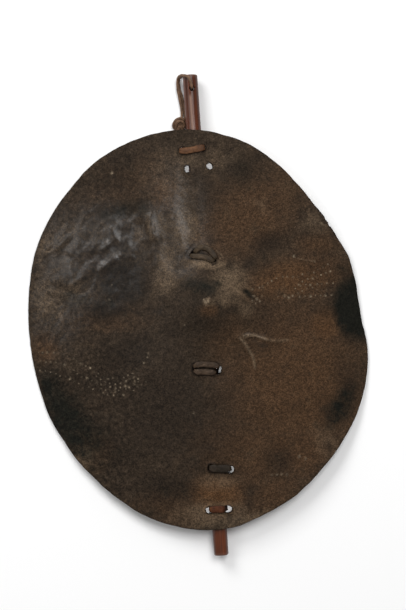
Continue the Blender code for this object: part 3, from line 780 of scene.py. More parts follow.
def relief(x, y):
    """How far the face stands out from the plain sheet: dents, wrinkles, creases and lips."""
    height = np.zeros_like(x)
    for *place, rise_mm in SWELLS:
        height += rise_mm * spot(x, y, place)
    for route, half_width, rise_mm in CREASES:
        away, share = from_line(x, y, route)
        fade = np.sin(np.pi * np.clip(share, 0.02, 0.98)) ** 0.6
        height += rise_mm * fade * bell(away / (half_width * MM))
    crumpling = sum(strength * spot(x, y, place, crispness) for place, crispness, strength in CRUMPLED)
    u, v = turned(x, y, WRINKLE_TURN)
    broad = 1 - np.abs(noise_field(u * 0.6, v, 0.052, 11.0, 2))
    fine = 1 - np.abs(noise_field(u * 0.55, v, 0.024, 13.0, 2))
    height += crumpling * (1.7 * (broad - 0.6) + 1.1 * (fine - 0.6))
    height += DENTS * noise_field(x, y, 0.045, 5.0, 3)
    height += PEBBLES * noise_field(x, y, 0.009, 9.0, 2)
    height += wart(x, y)
    for hole in HOLES:
        height += hole_lip(x, y, hole)
    return height * MM


def wart(x, y):
    """The small puckered knob on the boss, in mm."""
    knob = 2.8 * spot(x, y, (18.5, 22.5, 6.5, 5.2, 40))
    groove = -2.4 * spot(x, y, (19.5, 26.0, 5.5, 1.5, 62))
    return knob + groove + 1.8 * spot(x, y, (23.8, 22.5, 6.0, 2.3, 70))


def hole_out(x, y, hole):
    """Each place's distance outside a hole's edge, in mm, roughly."""
    middle_x, middle_y, half_width, half_height, turn, _ = hole
    u, v = turned(x - middle_x * MM, y - middle_y * MM, turn)
    share = np.hypot(u / half_width, v / half_height) / MM
    return (share - 1) * min(half_width, half_height)


def hole_lip(x, y, hole):
    """The raised lip round a hole and the shallow pull outside it, in mm."""
    out = hole_out(x, y, hole)
    return hole[-1] * bell(out / LIP_WIDTH) - PULL_DEPTH * bell((out - PULL_PLACE) / PULL_WIDTH)


def painted_hole_shade(x, y):
    """Painted shade: a dark ring round each hole's edge."""
    shown = np.zeros_like(x)
    for hole in HOLES:
        out = np.maximum(hole_out(x, y, hole), 0)
        shown = np.maximum(shown, 0.9 * bell(out / HOLE_SHADE_WIDTH))
    return shown


def hole_outline(hole, out):
    """The points of a loop at a distance in mm outside a hole's edge."""
    middle_x, middle_y, half_width, half_height, turn, _ = hole
    around = circle(HOLE_POINTS)
    u = (half_width + out) * np.cos(around)
    v = (half_height + out) * np.sin(around)
    ragged = 1 + 0.03 * noise_field(np.cos(around), np.sin(around), 0.9, middle_x + middle_y, 2)
    x, y = turned(u * ragged, v * ragged, -turn)
    return np.column_stack([x + middle_x, y + middle_y]) * MM


def dot_places():
    """The stippled dots and single specks, as rows of x, y, radius and strength."""
    random = np.random.default_rng(7)
    dots = [(x * MM, y * MM, radius * MM, strength) for x, y, radius, strength in SPECKS]
    for row in DOT_ROWS:
        line = smooth_line(np.array(row, float), DOT_PITCH * random.uniform(0.9, 1.05))
        for x, y in line + random.normal(0, 0.9, line.shape):
            radius = DOT_RADIUS * random.uniform(0.7, 1.1)
            clear = 1.2 if x > 0 else 0.9
            dots.append((x * MM, y * MM, radius * MM, clear * random.uniform(0.1, 1.0)))
    return np.array(dots)


JITTER = 0.16  # of the spacing
DOT_RINGS = (0.9, 1.9)  # rings of points round each dot, in mm
DOT_CLEARING = 2.6


def sheet_points(spacing, with_dots):
    """Places inside the outline, in a jittered honeycomb, closer round holes and dots."""
    random = np.random.default_rng(3)
    (low_x, low_y, _), (high_x, high_y, _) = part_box("hide")
    columns = np.arange(low_x, high_x, spacing)
    rows = np.arange(low_y, high_y + 0.004, spacing * math.sqrt(3) / 2)
    x, y = np.meshgrid(columns, rows)
    x = x + np.where(np.arange(len(rows)) % 2, spacing / 2, 0.0)[:, None]
    x, y = (v.ravel() + random.uniform(-JITTER, JITTER, v.size) * spacing for v in (x, y))
    angle = np.arctan2(y - RIM_CENTRE.y, x - RIM_CENTRE.x)
    inside = np.hypot(x - RIM_CENTRE.x, y - RIM_CENTRE.y) < worn_rim_radius(angle) - 0.7 * spacing
    for hole in HOLES:
        inside &= hole_out(x, y, hole) > LIP_RINGS[-1] + 0.45 * spacing / MM
    extra = [hole_outline(hole, out) for hole in HOLES for out in LIP_RINGS]
    if with_dots:
        middles = dot_places()[:, :2]
        for middle in middles:
            inside &= np.hypot(x - middle[0], y - middle[1]) > DOT_CLEARING * MM
        around = circle(7)
        for size in DOT_RINGS:
            step = np.column_stack([np.cos(around), np.sin(around)]) * size * MM
            extra += [middle + step for middle in middles]
        extra.append(middles)
    return np.vstack([np.column_stack([x[inside], y[inside]]), *extra])


SAME_PLACE = 1e-7


def triangulate(points, loops):
    """Triangles over the points inside the first loop and outside the other ones.

    Returns the places, the triangles, and each loop as indices of places.
    """
    everything = [Vector(p) for p in points]
    edges = []
    starts = []
    for loop in loops:
        start = len(everything)
        starts.append(start)
        everything += [Vector(p) for p in loop]
        edges += [(start + k, start + (k + 1) % len(loop)) for k in range(len(loop))]
    verts, _, faces, origins, _, _ = delaunay_2d_cdt(everything, edges, [], 1, SAME_PLACE)
    places = np.array([tuple(v) for v in verts])
    where = {}
    for made, given in enumerate(origins):
        for k in given:
            where[k] = made
    middles = np.array([places[list(face)].mean(axis=0) for face in faces])
    kept = np.ones(len(faces), bool)
    for hole in HOLES:
        kept &= hole_out(middles[:, 0], middles[:, 1], hole) > -0.5
    triangles = [face for face, keep in zip(faces, kept) if keep]
    rings = [[where[s + k] for k in range(len(loop))] for s, loop in zip(starts, loops)]
    return places, triangles, rings


def paint(x, y, stains):
    """The strongest of the stains at each place."""
    shown = np.zeros_like(x)
    for crispness, places in stains.items():
        for *place, strength in places:
            shown = np.maximum(shown, strength * spot(x, y, place, crispness))
    return shown


def paint_lines(x, y, lines):
    """The strongest of a list of drawn lines at each place."""
    shown = np.zeros_like(x)
    for route, half_width, strength in lines:
        away, _ = from_line(x, y, route)
        shown = np.maximum(shown, strength * bell(away / (half_width * MM)))
    return shown


def dot_field(x, y):
    """How strongly a stippled dot shows at each place."""
    shown = np.zeros_like(x)
    for middle_x, middle_y, radius, strength in dot_places():
        away = np.hypot(x - middle_x, y - middle_y)
        near = away < 2 * radius
        mark = strength * np.clip(1.6 - away[near] / radius, 0, 1)
        shown[near] = np.maximum(shown[near], mark)
    return shown


RIM_POINTS = 560
FACE_SPACING = 2.35 * MM
UNDER_SPACING = 6.0 * MM
HIDE_FIELDS = ("soot", "dim", "warm", "pale", "gloss", "dots", "flesh", "edge")


def rim_loop(inset=0.0):
    """The outline's points, set in by a distance."""
    around = circle(RIM_POINTS)
    reach = worn_rim_radius(around) - inset
    return np.array(RIM_CENTRE) + np.column_stack([np.cos(around), np.sin(around)]) * reach[:, None]


def face_fields(x, y):
    """Where the face is stained, worn and stippled, where pale wear and painted sheen lie, and where
    painted shade darkens it.
    """
    return {
        "soot": paint(x, y, SOOT),
        "dim": paint(x, y, DIM),
        "warm": paint(x, y, WARM),
        # pale wear, with painted sheen and highlights
        "pale": np.maximum(paint(x, y, PALE_AND_SHEEN), paint_lines(x, y, PALE_AND_HIGHLIGHT_LINES)),
        "gloss": paint(x, y, GLOSS),
        "dots": dot_field(x, y),
        # painted shade round the holes and painted shadow along the thongs
        "edge": np.maximum(painted_hole_shade(x, y), paint_lines(x, y, PAINTED_SHADOW_LINES)),
    }


def add_layer(shell, spacing, inset, widening, is_face):
    """The face or the underside; widening is how far its holes' loops lie outside, in mm.

    Returns the loops of the rim and of each hole, as indices of the shell's points.
    """
    loops = [rim_loop(inset)] + [hole_outline(hole, widening) for hole in HOLES]
    places, triangles, rings = triangulate(sheet_points(spacing, is_face), loops)
    x, y = places.T
    z, face = sheet_heights(x, y)
    fields = {"flesh": 1.0}
    if is_face:
        z = face + relief(x, y)
        fields = face_fields(x, y)
    else:
        triangles = [t[::-1] for t in triangles]
    start = shell.add(np.column_stack([x, y, z]), triangles, **fields)
    return [[start + k for k in ring] for ring in rings]


def add_wall(shell, top, bottom, outline, depth, edge, outward=False):
    """Joins an upper and a lower loop by two rings of points between them."""
    count = len(top)
    top_z = np.array([shell.points[k][2] for k in top])
    bottom_z = np.array([shell.points[k][2] for k in bottom])
    first = shell.add(np.column_stack([outline, top_z - depth]), [], edge=edge)
    second = shell.add(np.column_stack([outline, bottom_z + depth]), [], edge=edge)
    bands = [top, range(first, first + count), range(second, second + count), bottom]
    for high, low in zip(bands, bands[1:]):
        for k in range(count):
            after = (k + 1) % count
            face = (high[k], low[k], low[after], high[after])
            shell.faces.append(face if outward else face[::-1])


def make_hide():
    """The sheet: a finely triangulated face, a coarser underside and the walls between."""
    shell = Shell(*HIDE_FIELDS)
    upper = add_layer(shell, FACE_SPACING, inset=0.7 * MM, widening=0.55, is_face=True)
    lower = add_layer(shell, UNDER_SPACING, inset=0.5 * MM, widening=0.40, is_face=False)
    # The rim's wall is darkened a little; the holes' walls get full painted shade.
    add_wall(shell, upper[0], lower[0], rim_loop(), depth=0.9 * MM, edge=0.25, outward=True)
    for hole, top, bottom in zip(HOLES, upper[1:], lower[1:]):
        add_wall(shell, top, bottom, hole_outline(hole, 0.0), depth=0.8 * MM, edge=1.0)
    add_piece("hide_sheet", shell, hide_finish(), "rawhide", "hide")


# --- The stick ---


def stick_radius(y):
    """The rod's plain radius at places along it."""
    places, radii = zip(*STICK_RADII)
    return np.interp(y, places, radii)


STICK_SIDES = 64
STICK_STEP = 0.0022
END_ROUNDING = 0.0022
FACETS = 0.22  # heights of the peeled rod's facets and of finer bumps, in mm
BUMPS = 0.10


def stick_rings():
    """Rings along the rod, with faint facets and bumps from peeling, and rounded ends."""
    half = STICK_LENGTH / 2
    inner = np.arange(-half + END_ROUNDING, half - END_ROUNDING, STICK_STEP)
    bend = END_ROUNDING * (1 - np.sin(np.radians(np.linspace(90, 0, 6))))
    turns = circle(STICK_SIDES)
    x, z = np.sin(turns), np.cos(turns)
    rings = []
    for y in np.concatenate([-half + bend, inner[1:], (half - bend)[::-1]]):
        into = max(abs(y) - (half - END_ROUNDING), 0.0)
        rounded = math.sqrt(max(END_ROUNDING**2 - into**2, 0.0)) - END_ROUNDING
        level = np.full(STICK_SIDES, y)
        bumps = FACETS * noise_field(x + 3, level * 6, 1.0, 2.0, 2)
        bumps += BUMPS * noise_field(x * 3, z * 3 + level * 20, 1.0, 4.0, 2)
        wide = stick_radius(y) + rounded + bumps * MM * (1 - into / END_ROUNDING)
        rings.append(np.column_stack([STICK_X + x * wide, level, STICK_Z + z * wide]))
    return np.array(rings)


def stick_wear_and_highlight(points):
    """How worn the rod is at both ends, and a painted highlight streak along its top below the bore."""
    across, along, height = (points - [STICK_X, 0, STICK_Z]).T
    ends = 0.25 * rise(np.abs(along), STICK_LENGTH / 2 - 0.006, STICK_LENGTH / 2)
    # a painted highlight along the rod's top, below the bore
    streak = bell((across + 0.0016) / 0.0020) * rise(height, 0.004, 0.009)
    streak *= rise(along, 0.25, 0.29) * (1 - rise(along, BORE_Y - 0.016, BORE_Y - 0.008))
    return np.maximum(ends, 0.8 * streak)


def make_stick():
    """The rod with its bore."""
    rings = stick_rings()
    points = rings.reshape(-1, 3)
    faces = [face[::-1] for face in ring_faces(len(rings), STICK_SIDES)]
    faces.append(tuple(range(STICK_SIDES)))
    faces.append(tuple(range(len(points) - STICK_SIDES, len(points)))[::-1])
    shell = Shell("worn", "inside")
    shell.add(points, faces, worn=stick_wear_and_highlight(points))
    stick = add_piece("stick_rod", shell, wood_finish(), "polished_wood", "stick")
    cut(stick, bore_mesh())
    paint_bore_shade(stick.data)


def bore_mesh():
    """The cutter for the thong's bore: waisted, flared at both mouths and slightly oval."""
    levels = [(-0.020, BORE_FLARE), (-0.011, BORE_RADIUS), (-0.003, BORE_NECK), (0.003, BORE_NECK),
              (0.011, BORE_RADIUS), (0.020, BORE_FLARE)]  # fmt: skip
    sides = 32
    points = []
    for z, radius in levels:
        for k in range(sides):
            turn = 2 * math.pi * k / sides
            x, y = radius * math.cos(turn), radius * math.sin(turn) * 1.08
            points.append((BORE_X + x, BORE_Y + y, STICK_Z + z))
    faces = ring_faces(len(levels), sides)
    faces.append(tuple(range(sides))[::-1])
    faces.append(tuple(range(len(points) - sides, len(points))))
    shell = Shell()
    shell.add(points, faces)
    mesh = shell.mesh("bore")
    mesh.shade_flat()
    return mesh


def paint_bore_shade(mesh):
    """Paints shade on the bore's wall and keeps its edge crisp."""
    places = np.array([tuple(point.co) for point in mesh.vertices])
    from_bore = np.hypot(places[:, 0] - BORE_X, places[:, 1] - BORE_Y)
    from_axis = np.hypot(places[:, 0] - STICK_X, places[:, 2] - STICK_Z)
    inside = (from_bore < 0.0072) & (from_axis < stick_radius(places[:, 1]) - 0.0005)
    values = mesh.attributes["inside"].data
    for k in np.flatnonzero(inside):
        values[int(k)].value = 1.0
    mesh.set_sharp_from_angle(angle=math.radians(40))


# --- The lashings ---

STRIP_SIDES = 20
STRIP_TURNS = 2 * np.pi * (np.arange(STRIP_SIDES) + 0.5) / STRIP_SIDES
STRIP_STEP = 0.0008
STICK_CLEARANCE = 0.0006
FACE_CLEARANCE = 0.0004
THONG_THICKNESS = 0.0026
STRAND_THICKNESS = 0.0024
STRIP_CROWN = 0.30 * MM
STRIP_WOBBLE = 0.16 * MM
WIDTH_CHANGE = 0.07

# Lines of the thongs over the hide, from left hole to right: (x, y, height above its rest) in mm.
SINGLE_ROUTES = {
    "lashing_top": [(-9.4, 273.8, 0), (1, 273.0, 0), (13, 274.2, 0.4), (24, 275.8, 0), (31.4, 276.6, 0)],
    "lashing_lower": [(5.4, -251.6, 0), (15, -253.2, 0), (27, -254.6, 0.2), (40.2, -255.0, 0)],
    "lashing_bottom": [(1.6, -321.3, 0), (12, -321.2, 0), (25.3, -322.2, 0)],
}
SINGLE_WIDTHS = {  # name: (in the holes, over the hide) in mm
    "lashing_top": (9.4, 11.2),
    "lashing_lower": (9.0, 12.4),
    "lashing_bottom": (9.4, 12.0),
}
DOUBLE_ROUTES = {  # name: (upper strand, lower strand)
    "lashing_upper_grip": (
        [(4.0, 103.4, 0), (7.5, 107.8, 0.6), (12.5, 110.9, 1.4), (19, 111.4, 1.8), (26.0, 108.6, 1.6),
         (32.0, 102.6, 1.0), (36.0, 96.2, 0.4), (37.4, 91.0, 0)],
        [(-3.6, 99.4, 0), (4, 97.8, 0.2), (11.4, 96.8, 0.6), (19, 95.2, 0.6), (26.3, 92.4, 0.2),
         (34.8, 87.2, 0)],
    ),
    "lashing_lower_grip": (
        [(-9.8, -83.4, 0), (-3.5, -80.6, 0.1), (6, -80.0, 0.3), (13, -81.2, 0.4), (20, -82.0, 0.3),
         (26.0, -83.4, 0.1), (31.6, -86.6, 0)],
        [(-9.4, -90.2, 0), (-3.0, -92.2, 0.1), (6, -93.0, 0.3), (12, -93.6, 0.3), (18, -94.4, 0.3),
         (22.4, -94.8, 0.1), (25.2, -93.6, 0)],
    ),
}  # fmt: skip
STRAND_WIDTHS = {  # name: (in the holes, over the hide) in mm
    "lashing_upper_grip": (7.0, 9.0),
    "lashing_lower_grip": (6.4, 9.8),
}
CROSSED = {"lashing_upper_grip": False, "lashing_lower_grip": True}


def touching_angle(x, z, radius):
    """The angle round the stick where a taut thong from (x, z) meets it."""
    away = math.hypot(x - STICK_X, z - STICK_Z)
    return math.atan2(z - STICK_Z, abs(x - STICK_X)) - math.acos(min(radius / away, 1.0))


def over_rows(route, thickness):
    """A thong's middle line over the hide, dipping into the hole at both ends.

    Each row is a place, the direction away from the hide, and the share over the hide.
    """
    line = smooth_line(np.array(route, float) * MM, 0.0010)
    x, y, lift = line.T
    z = sheet_heights(x, y)[1] + relief(x, y) + FACE_CLEARANCE + thickness / 2 + lift
    z = np.convolve(np.pad(z, 2, "edge"), np.ones(5) / 5, "valid")
    bend = 0.0016 + thickness / 2
    along = along_line(line[:, :2])
    from_end = np.minimum(along, along[-1] - along)
    into = np.clip(bend - from_end, 0, bend)
    z -= bend - np.sqrt(bend**2 - into**2)
    share = np.sin(np.pi * along / along[-1])
    rows = np.column_stack([x, y, z, np.zeros((len(x), 2)), np.ones(len(x)), share])
    first, last = rows[1:4, :3] - rows[0:3, :3], rows[-3:, :3] - rows[-4:-1, :3]
    out_first, out_last = -first.mean(axis=0), last.mean(axis=0)
    return rows, flat_unit(out_first), flat_unit(out_last)


def flat_unit(direction):
    """The same direction, level and of length 1."""
    level = np.array([direction[0], direction[1], 0.0])
    return level / np.linalg.norm(level)


def squared_off(values, power):
    """Sines or cosines pushed towards -1 and 1, for a flatter section."""
    return np.sign(values) * np.abs(values) ** power


def hole_rows(top, outward):
    """The part of a thong that goes down through its hole from the place where it bends."""
    x, y, z = top
    low = float(sheet_heights(np.array([x]), np.array([y]))[0][0]) - GAP
    depths = np.linspace(z - 0.0004, low, 4)
    return np.array([(x, y, depth, *outward, 0.0) for depth in depths])


def stick_rows(start, end, thickness, cross, dip=0.0):
    """The part under the stick, from the foot of the right hole to that of the left one."""
    radius = float(stick_radius(start[1])) + STICK_CLEARANCE + thickness / 2
    right = touching_angle(start[0], start[2], radius)
    left = touching_angle(end[0], end[2], radius)
    share = np.linspace(0, 1, 41)
    turn = right + (-math.pi - left - right) * share
    deeper = rise(share, 0.08, 0.30) * rise(1 - share, 0.08, 0.30) * dip
    y = start[1] + (end[1] - start[1]) * rise(share, 0.5 - cross, 0.5 + cross)
    out_x, out_z = np.cos(turn), np.sin(turn)
    x = STICK_X + out_x * (radius + deeper)
    z = STICK_Z + out_z * (radius + deeper)
    nothing = np.zeros(len(share))
    return np.column_stack([x, y, z, out_x, nothing, out_z, nothing])


def turn_rows(route, thickness):
    """One pass over the hide: up the left hole, across and down the right one."""
    over, left_out, right_out = over_rows(route, thickness)
    up = hole_rows(over[0, :3], left_out)[::-1]
    down = hole_rows(over[-1, :3], right_out)
    return np.vstack([up, over, down])


def painted_thong_shade(rings):
    """How dark a flat thong is: painted shade along its edges, behind it and in its holes, and darker
    towards its right end.
    """
    side = np.abs(np.cos(STRIP_TURNS)) ** 0.5
    edges = np.where(np.sin(STRIP_TURNS) > 0, 0.85 * rise(side, 0.80, 1.0), 0.7)
    middles = rings.mean(axis=1)
    sunk = 0.9 * rise(middles[:, 2].max() - middles[:, 2], 0.002, 0.006)
    right_end = 0.40 * rise(middles[:, 0], 0.012, 0.034)
    return np.maximum(edges[None, :], np.maximum(sunk, right_end)[:, None])


def strip_rings(rows, widths, thickness, seed):
    """Rings of a closed flat thong along rows of place, outward direction and share over the hide."""
    line = np.vstack([rows, rows[:1]])
    along = along_line(line[:, :3])
    places = np.linspace(0, along[-1], round(along[-1] / STRIP_STEP) + 1)[:-1]
    fine = np.column_stack([np.interp(places, along, column) for column in line.T])
    kernel = np.array([1, 2, 3, 2, 1]) / 9
    for _ in range(3):
        padded = np.vstack([fine[-2:], fine, fine[:2]])
        fine = np.column_stack([np.convolve(column, kernel, "valid") for column in padded.T])
    points, outward, over = fine[:, :3], fine[:, 3:6], fine[:, 6]
    run = units(np.roll(points, -1, axis=0) - np.roll(points, 1, axis=0))
    outward = units(outward - run * (outward * run).sum(axis=1)[:, None])
    across = np.cross(run, outward)
    narrow, broad = widths
    wide = narrow + (broad - narrow) * rise(over, 0.0, 0.6)
    uneven = noise_field(places, np.full(len(places), seed), 0.006, seed, 2)
    wide = wide * MM * (1 + WIDTH_CHANGE * uneven)
    side = squared_off(np.cos(STRIP_TURNS), 0.5)
    depth = squared_off(np.sin(STRIP_TURNS), 0.8)
    rings = []
    for point, out, beside, width, at in zip(points, outward, across, wide, places):
        wobble = STRIP_WOBBLE * noise_field(side * 2, np.full(STRIP_SIDES, at / 0.006), 1.0, seed + 1)
        crown = STRIP_CROWN * (1 - side**2) * (depth > 0)
        lift = depth * thickness / 2 + crown + wobble
        rings.append(point + beside * (side * width / 2)[:, None] + out * lift[:, None])
    return np.array(rings)


def lashing_shell(rows, widths, thickness):
    """A closed flat thong along rows that go once or twice round hide and stick."""
    shell = strip_shell()
    rings = strip_rings(rows, widths, thickness, 10.0 * rows[0, 1])
    add_strip(shell, rings, closed=True, shade=painted_thong_shade(rings))
    return shell


def make_single_lashing(name, leather, slot):
    """One turn of a broad thong, with its tied ends under the stick."""
    over = turn_rows(SINGLE_ROUTES[name], THONG_THICKNESS)
    under = stick_rows(over[-1], over[0], THONG_THICKNESS, 0.5)
    shell = lashing_shell(np.vstack([over, under]), SINGLE_WIDTHS[name], THONG_THICKNESS)
    add_tie(shell, under[len(under) // 2, 1])
    add_piece(name + "_thong", shell, thong_finish(leather), slot, name)


def add_tie(shell, y):
    """The keeper turn round the band under the stick, with two short cut tails."""
    low = STICK_Z - float(stick_radius(y)) - STICK_CLEARANCE
    middle = np.array([STICK_X, y, low - THONG_THICKNESS / 2])
    around = circle(12)
    half_width = np.array([0.0032, 0.0, 0.0])
    rings = []
    for turn in circle(64):
        bend = (0.0012 * math.sin(2 * turn), 0.0066 * math.cos(turn), 0.0021 * math.sin(turn))
        out = np.array([0.0, math.cos(turn) * 0.5, math.sin(turn)])
        out *= 0.0011 / np.linalg.norm(out)
        ring = np.outer(np.cos(around), half_width) + np.outer(np.sin(around), out)
        rings.append(middle + bend + ring)
    add_strip(shell, rings, closed=True)
    for sign, reach in ((1, 20), (-1, 16)):
        steps = [(2, 4, -1.0), (4, 9, -1.8), (7, reach * 0.75, -2.6), (8, reach, -2.8)]
        route = [middle + np.array([sign * x, sign * y, z]) * MM for x, y, z in steps]
        line = smooth_line([np.maximum(p, [-9, -9, 0.0012]) for p in route], 0.0008)
        add_strip(shell, flat_tail_rings(line, width=0.0062, thickness=0.0018))


def flat_tail_rings(line, width, thickness):
    """Rings of a flat strip lying level along a line, tapering to a blunt tip."""
    run = units(np.gradient(line, axis=0))
    across = units(np.cross(run, [0.0, 0.0, 1.0]))
    outward = np.cross(across, run)
    share = np.linspace(0, 1, len(line))
    widths = width * (1 - 0.35 * share) * np.sqrt(np.clip((1.02 - share) / 0.06, 0, 1))
    turns = circle(14)
    side = squared_off(np.cos(turns), 0.5)
    depth = np.sin(turns)
    rings = []
    for point, beside, out, wide in zip(line, across, outward, widths):
        flat = point + beside * (side * wide / 2)[:, None]
        rings.append(flat + out * (depth * thickness / 2)[:, None])
    return rings


def make_double_lashing(name, leather, slot):
    """Two turns of a narrower thong, spread over the hide."""
    upper, lower = (turn_rows(route, STRAND_THICKNESS) for route in DOUBLE_ROUTES[name])
    dip = STRAND_THICKNESS + GAP
    if CROSSED[name]:
        first = stick_rows(lower[-1], upper[0], STRAND_THICKNESS, 0.18)
        second = stick_rows(upper[-1], lower[0], STRAND_THICKNESS, 0.18, dip)
    else:
        first = stick_rows(upper[-1], lower[0], STRAND_THICKNESS, 0.18, dip)
        second = stick_rows(lower[-1], upper[0], STRAND_THICKNESS, 0.18)
        upper, lower = lower, upper
    rows = np.vstack([first, upper, second, lower])
    shell = lashing_shell(rows, STRAND_WIDTHS[name], STRAND_THICKNESS)
    add_piece(name + "_thong", shell, thong_finish(leather), slot, name)


# --- The hanging thong ---

CORD_SIDES = 16


def tube_rings(line, radius, seed, twist=0.0, taper_ends=False):
    """Rings of a rolled leather thong along a line, with a seam that winds round it."""
    run = units(np.gradient(line, axis=0))
    beside = np.cross(run[0], [0.3, 0.5, 0.8])
    beside /= np.linalg.norm(beside)
    turns = circle(CORD_SIDES)
    along = along_line(line)
    rings = []
    for point, ahead, at in zip(line, run, along):
        beside = beside - ahead * beside.dot(ahead)
        beside /= np.linalg.norm(beside)
        other = np.cross(ahead, beside)
        seam = (turns - twist * at) % (2 * np.pi)
        groove = 0.16 * bell((seam - np.pi) / 0.45)
        lumps = noise_field(np.cos(turns), np.full(CORD_SIDES, at / 0.006), 1.0, seed)
        wide = radius * (1 + 0.04 * lumps - groove)
        if taper_ends:
            near_end = min(at, along[-1] - at)
            wide = wide * min(1.0, math.sqrt(max(near_end, 0.0002) / (radius * 0.9)))
        ring = np.outer(np.cos(turns) * wide, beside) + np.outer(np.sin(turns) * wide, other)
        rings.append(point + ring)
    return rings


def make_hanging_thong(finish):
    """The thin thong from its knot up, over the stick's end, through the bore and back."""
    line = smooth_line(CORD_ROUTE, 0.0012)
    shell = strip_shell()
    add_strip(shell, tube_rings(line, CORD_RADIUS, 31.0, twist=150.0))
    piece = add_piece("rolled_thong", shell, finish, "brown_thong", "hanging_thong")
    return piece, line


KNOT_RADIUS = 0.0025
KNOT_TURNS = [  # the visible turns of the overhand knot, as lines in mm
    [(2.0, 324.5, 5.6), (-1.0, 328.6, 8.2), (-6.4, 330.0, 9.6), (-12.0, 328.0, 9.8), (-16.6, 322.6, 8.4),
     (-17.2, 316.4, 5.8), (-13.0, 312.2, 3.6), (-6.6, 312.0, 3.0), (-1.6, 314.4, 4.0), (0.0, 319.0, 6.0)],
    [(1.0, 315.4, 4.8), (0.8, 320.6, 8.2), (-2.8, 324.6, 10.4), (-7.6, 325.4, 11.4), (-12.0, 322.2, 10.8),
     (-13.4, 317.0, 8.4), (-11.8, 312.6, 5.2)],
    [(-1.0, 321.0, 5.2), (-5.0, 321.8, 6.2), (-9.0, 320.4, 6.0), (-10.2, 316.0, 5.0)],
    [(-3.4, 329.6, 5.4), (-5.4, 324.4, 5.2), (-8.0, 319.8, 4.6), (-9.2, 314.8, 4.6)],
    [(1.6, 322.4, 4.6), (-2.2, 319.4, 4.8), (-5.2, 316.6, 4.4), (-6.4, 312.8, 4.2)],
    [(-2.4, 310.0, 5.0), (-4.4, 314.8, 8.0), (-7.0, 316.2, 8.8), (-9.4, 313.6, 7.6), (-9.8, 309.6, 5.4)],
]  # fmt: skip
KNOT_TAILS = [  # the two cut ends, in mm
    [(-11.0, 312, 7.0), (-13.5, 304, 3.6), (-16.5, 294, 1.6), (-17, 282, 1.5)],
    [(-6.6, 314, 5.0), (-4.2, 306, 3.0), (-2.2, 296, 1.6), (-4, 287, 1.5)],
]


def make_knot(finish):
    """The knot in the thong's two ends, with its two tails."""
    shell = strip_shell()
    for k, route in enumerate(KNOT_TURNS):
        line = smooth_line(np.array(route) * MM, 0.0008)
        add_strip(shell, tube_rings(line, KNOT_RADIUS, 40.0 + k, twist=60.0, taper_ends=True))
    for route in KNOT_TAILS:
        line = smooth_line(np.array(route) * MM, 0.0008)
        add_strip(shell, flat_tail_rings(line, width=0.0056, thickness=0.0026))
    return add_piece("knot_turns", shell, finish, "brown_thong", "thong_knot")


# --- Floor, lights and camera ---

CAMERA_RISE = 2.8
EYE = Vector((0.0122, 0.0169, STICK_Z + CAMERA_RISE))
PICTURE_HEIGHT = 1.015
PICTURE_TURN = math.radians(-3.733)
SENSOR_MM = 36.0

LIGHT_DISTANCE = 5.0
LIGHTS = [  # soft lights: (name, azimuth and zenith in degrees, size, power)
    ("right", 58, 23, 2.3, 142),
    ("left", 121, 50, 2.1, 128),
    ("side", 168, 46, 1.3, 30),
]
BEAM_LENGTH = 0.62
BEAMS = [  # thin beams that light the floor seen through the open holes: (x and y in mm, power)
    (32.4, -89.4, 4.5),
    (42.8, -256.9, 5.0),
    (-3.0, -322.0, 6.5),
    (31.4, -322.3, 8.0),
    (1.1, 242.3, 6.5),
    (37.8, 244.7, 7.5),
]
BEAM_WIDTH = math.radians(1.4)
FLOOR_HALF = 6.0
FLOOR_COLOR = (0.92, 0.92, 0.92, 1.0)
SURROUND_COLOR = (1.0, 1.0, 1.0, 1.0)
SURROUND_STRENGTH = 0.27


def add_camera():
    """Looks straight down; the stick's pierced end leans a little to the left."""
    camera = bpy.data.cameras.new("camera")
    camera.sensor_width = SENSOR_MM
    camera.lens = SENSOR_MM * CAMERA_RISE / PICTURE_HEIGHT
    holder = add_object("camera", camera)
    holder.location = EYE
    holder.rotation_euler = (0.0, 0.0, PICTURE_TURN)
    bpy.context.scene.camera = holder


def place_light(light, target, out, distance):
    """Puts a light at a distance from its target, in the direction out, and aims it back."""
    holder = add_object(light.name, light)
    holder.location = target + out * distance
    holder.rotation_euler = out.to_track_quat("Z", "Y").to_euler()


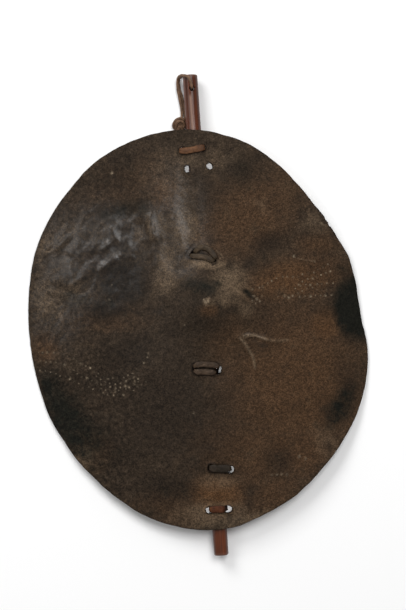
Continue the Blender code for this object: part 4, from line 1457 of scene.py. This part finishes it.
def add_light(name, azimuth, zenith, size, power):
    """A soft square light aimed at the shield; azimuth is from +X, zenith from straight up."""
    light = bpy.data.lights.new(name, "AREA")
    light.shape = "SQUARE"
    light.size = size
    light.energy = power
    turn, tilt = math.radians(azimuth), math.radians(zenith)
    out = Vector((math.cos(turn) * math.sin(tilt), math.sin(turn) * math.sin(tilt), math.cos(tilt)))
    place_light(light, Vector(), out, LIGHT_DISTANCE)


def add_beam(x, y, power):
    """A thin beam along the camera's own line through one hole, about 15 mm across."""
    hole = Vector((x * MM, y * MM, 0.02))
    light = bpy.data.lights.new("beam", "SPOT")
    light.energy = power
    light.shadow_soft_size = 0.0
    light.spot_size = BEAM_WIDTH
    light.spot_blend = 0.3
    place_light(light, hole, (EYE - hole).normalized(), BEAM_LENGTH)


def add_stage():
    """A plain white floor, a dim white surround, soft lights from above and the left, and beams."""
    corners = [(-1, -1), (1, -1), (1, 1), (-1, 1)]
    mesh = bpy.data.meshes.new("floor")
    mesh.from_pydata([(FLOOR_HALF * x, FLOOR_HALF * y, 0.0) for x, y in corners], [], [(0, 1, 2, 3)])
    look = Finish("white_floor")
    look.shader.inputs["Base Color"].default_value = FLOOR_COLOR
    look.shader.inputs["Roughness"].default_value = 0.9
    mesh.materials.append(look.material)
    floor = add_object("floor", mesh)
    world = bpy.data.worlds.new("surround")
    world.use_nodes = True
    background = world.node_tree.nodes["Background"].inputs
    background["Color"].default_value = SURROUND_COLOR
    background["Strength"].default_value = SURROUND_STRENGTH
    bpy.context.scene.world = world
    for light in LIGHTS:
        add_light(*light)
    for beam in BEAMS:
        add_beam(*beam)
    bpy.context.scene.view_settings.view_transform = "Standard"


add_camera()
add_stage()
tan = thong_finish("tan_leather")
knot = make_knot(tan)
thong, thong_line = make_hanging_thong(tan)
make_hide()
make_stick()
make_single_lashing("lashing_top", "brown_leather", "brown_thong")
make_single_lashing("lashing_lower", "dark_leather", "dark_thong")
make_single_lashing("lashing_bottom", "red_leather", "brown_thong")
make_double_lashing("lashing_upper_grip", "olive_leather", "dark_thong")
make_double_lashing("lashing_lower_grip", "umber_leather", "dark_thong")
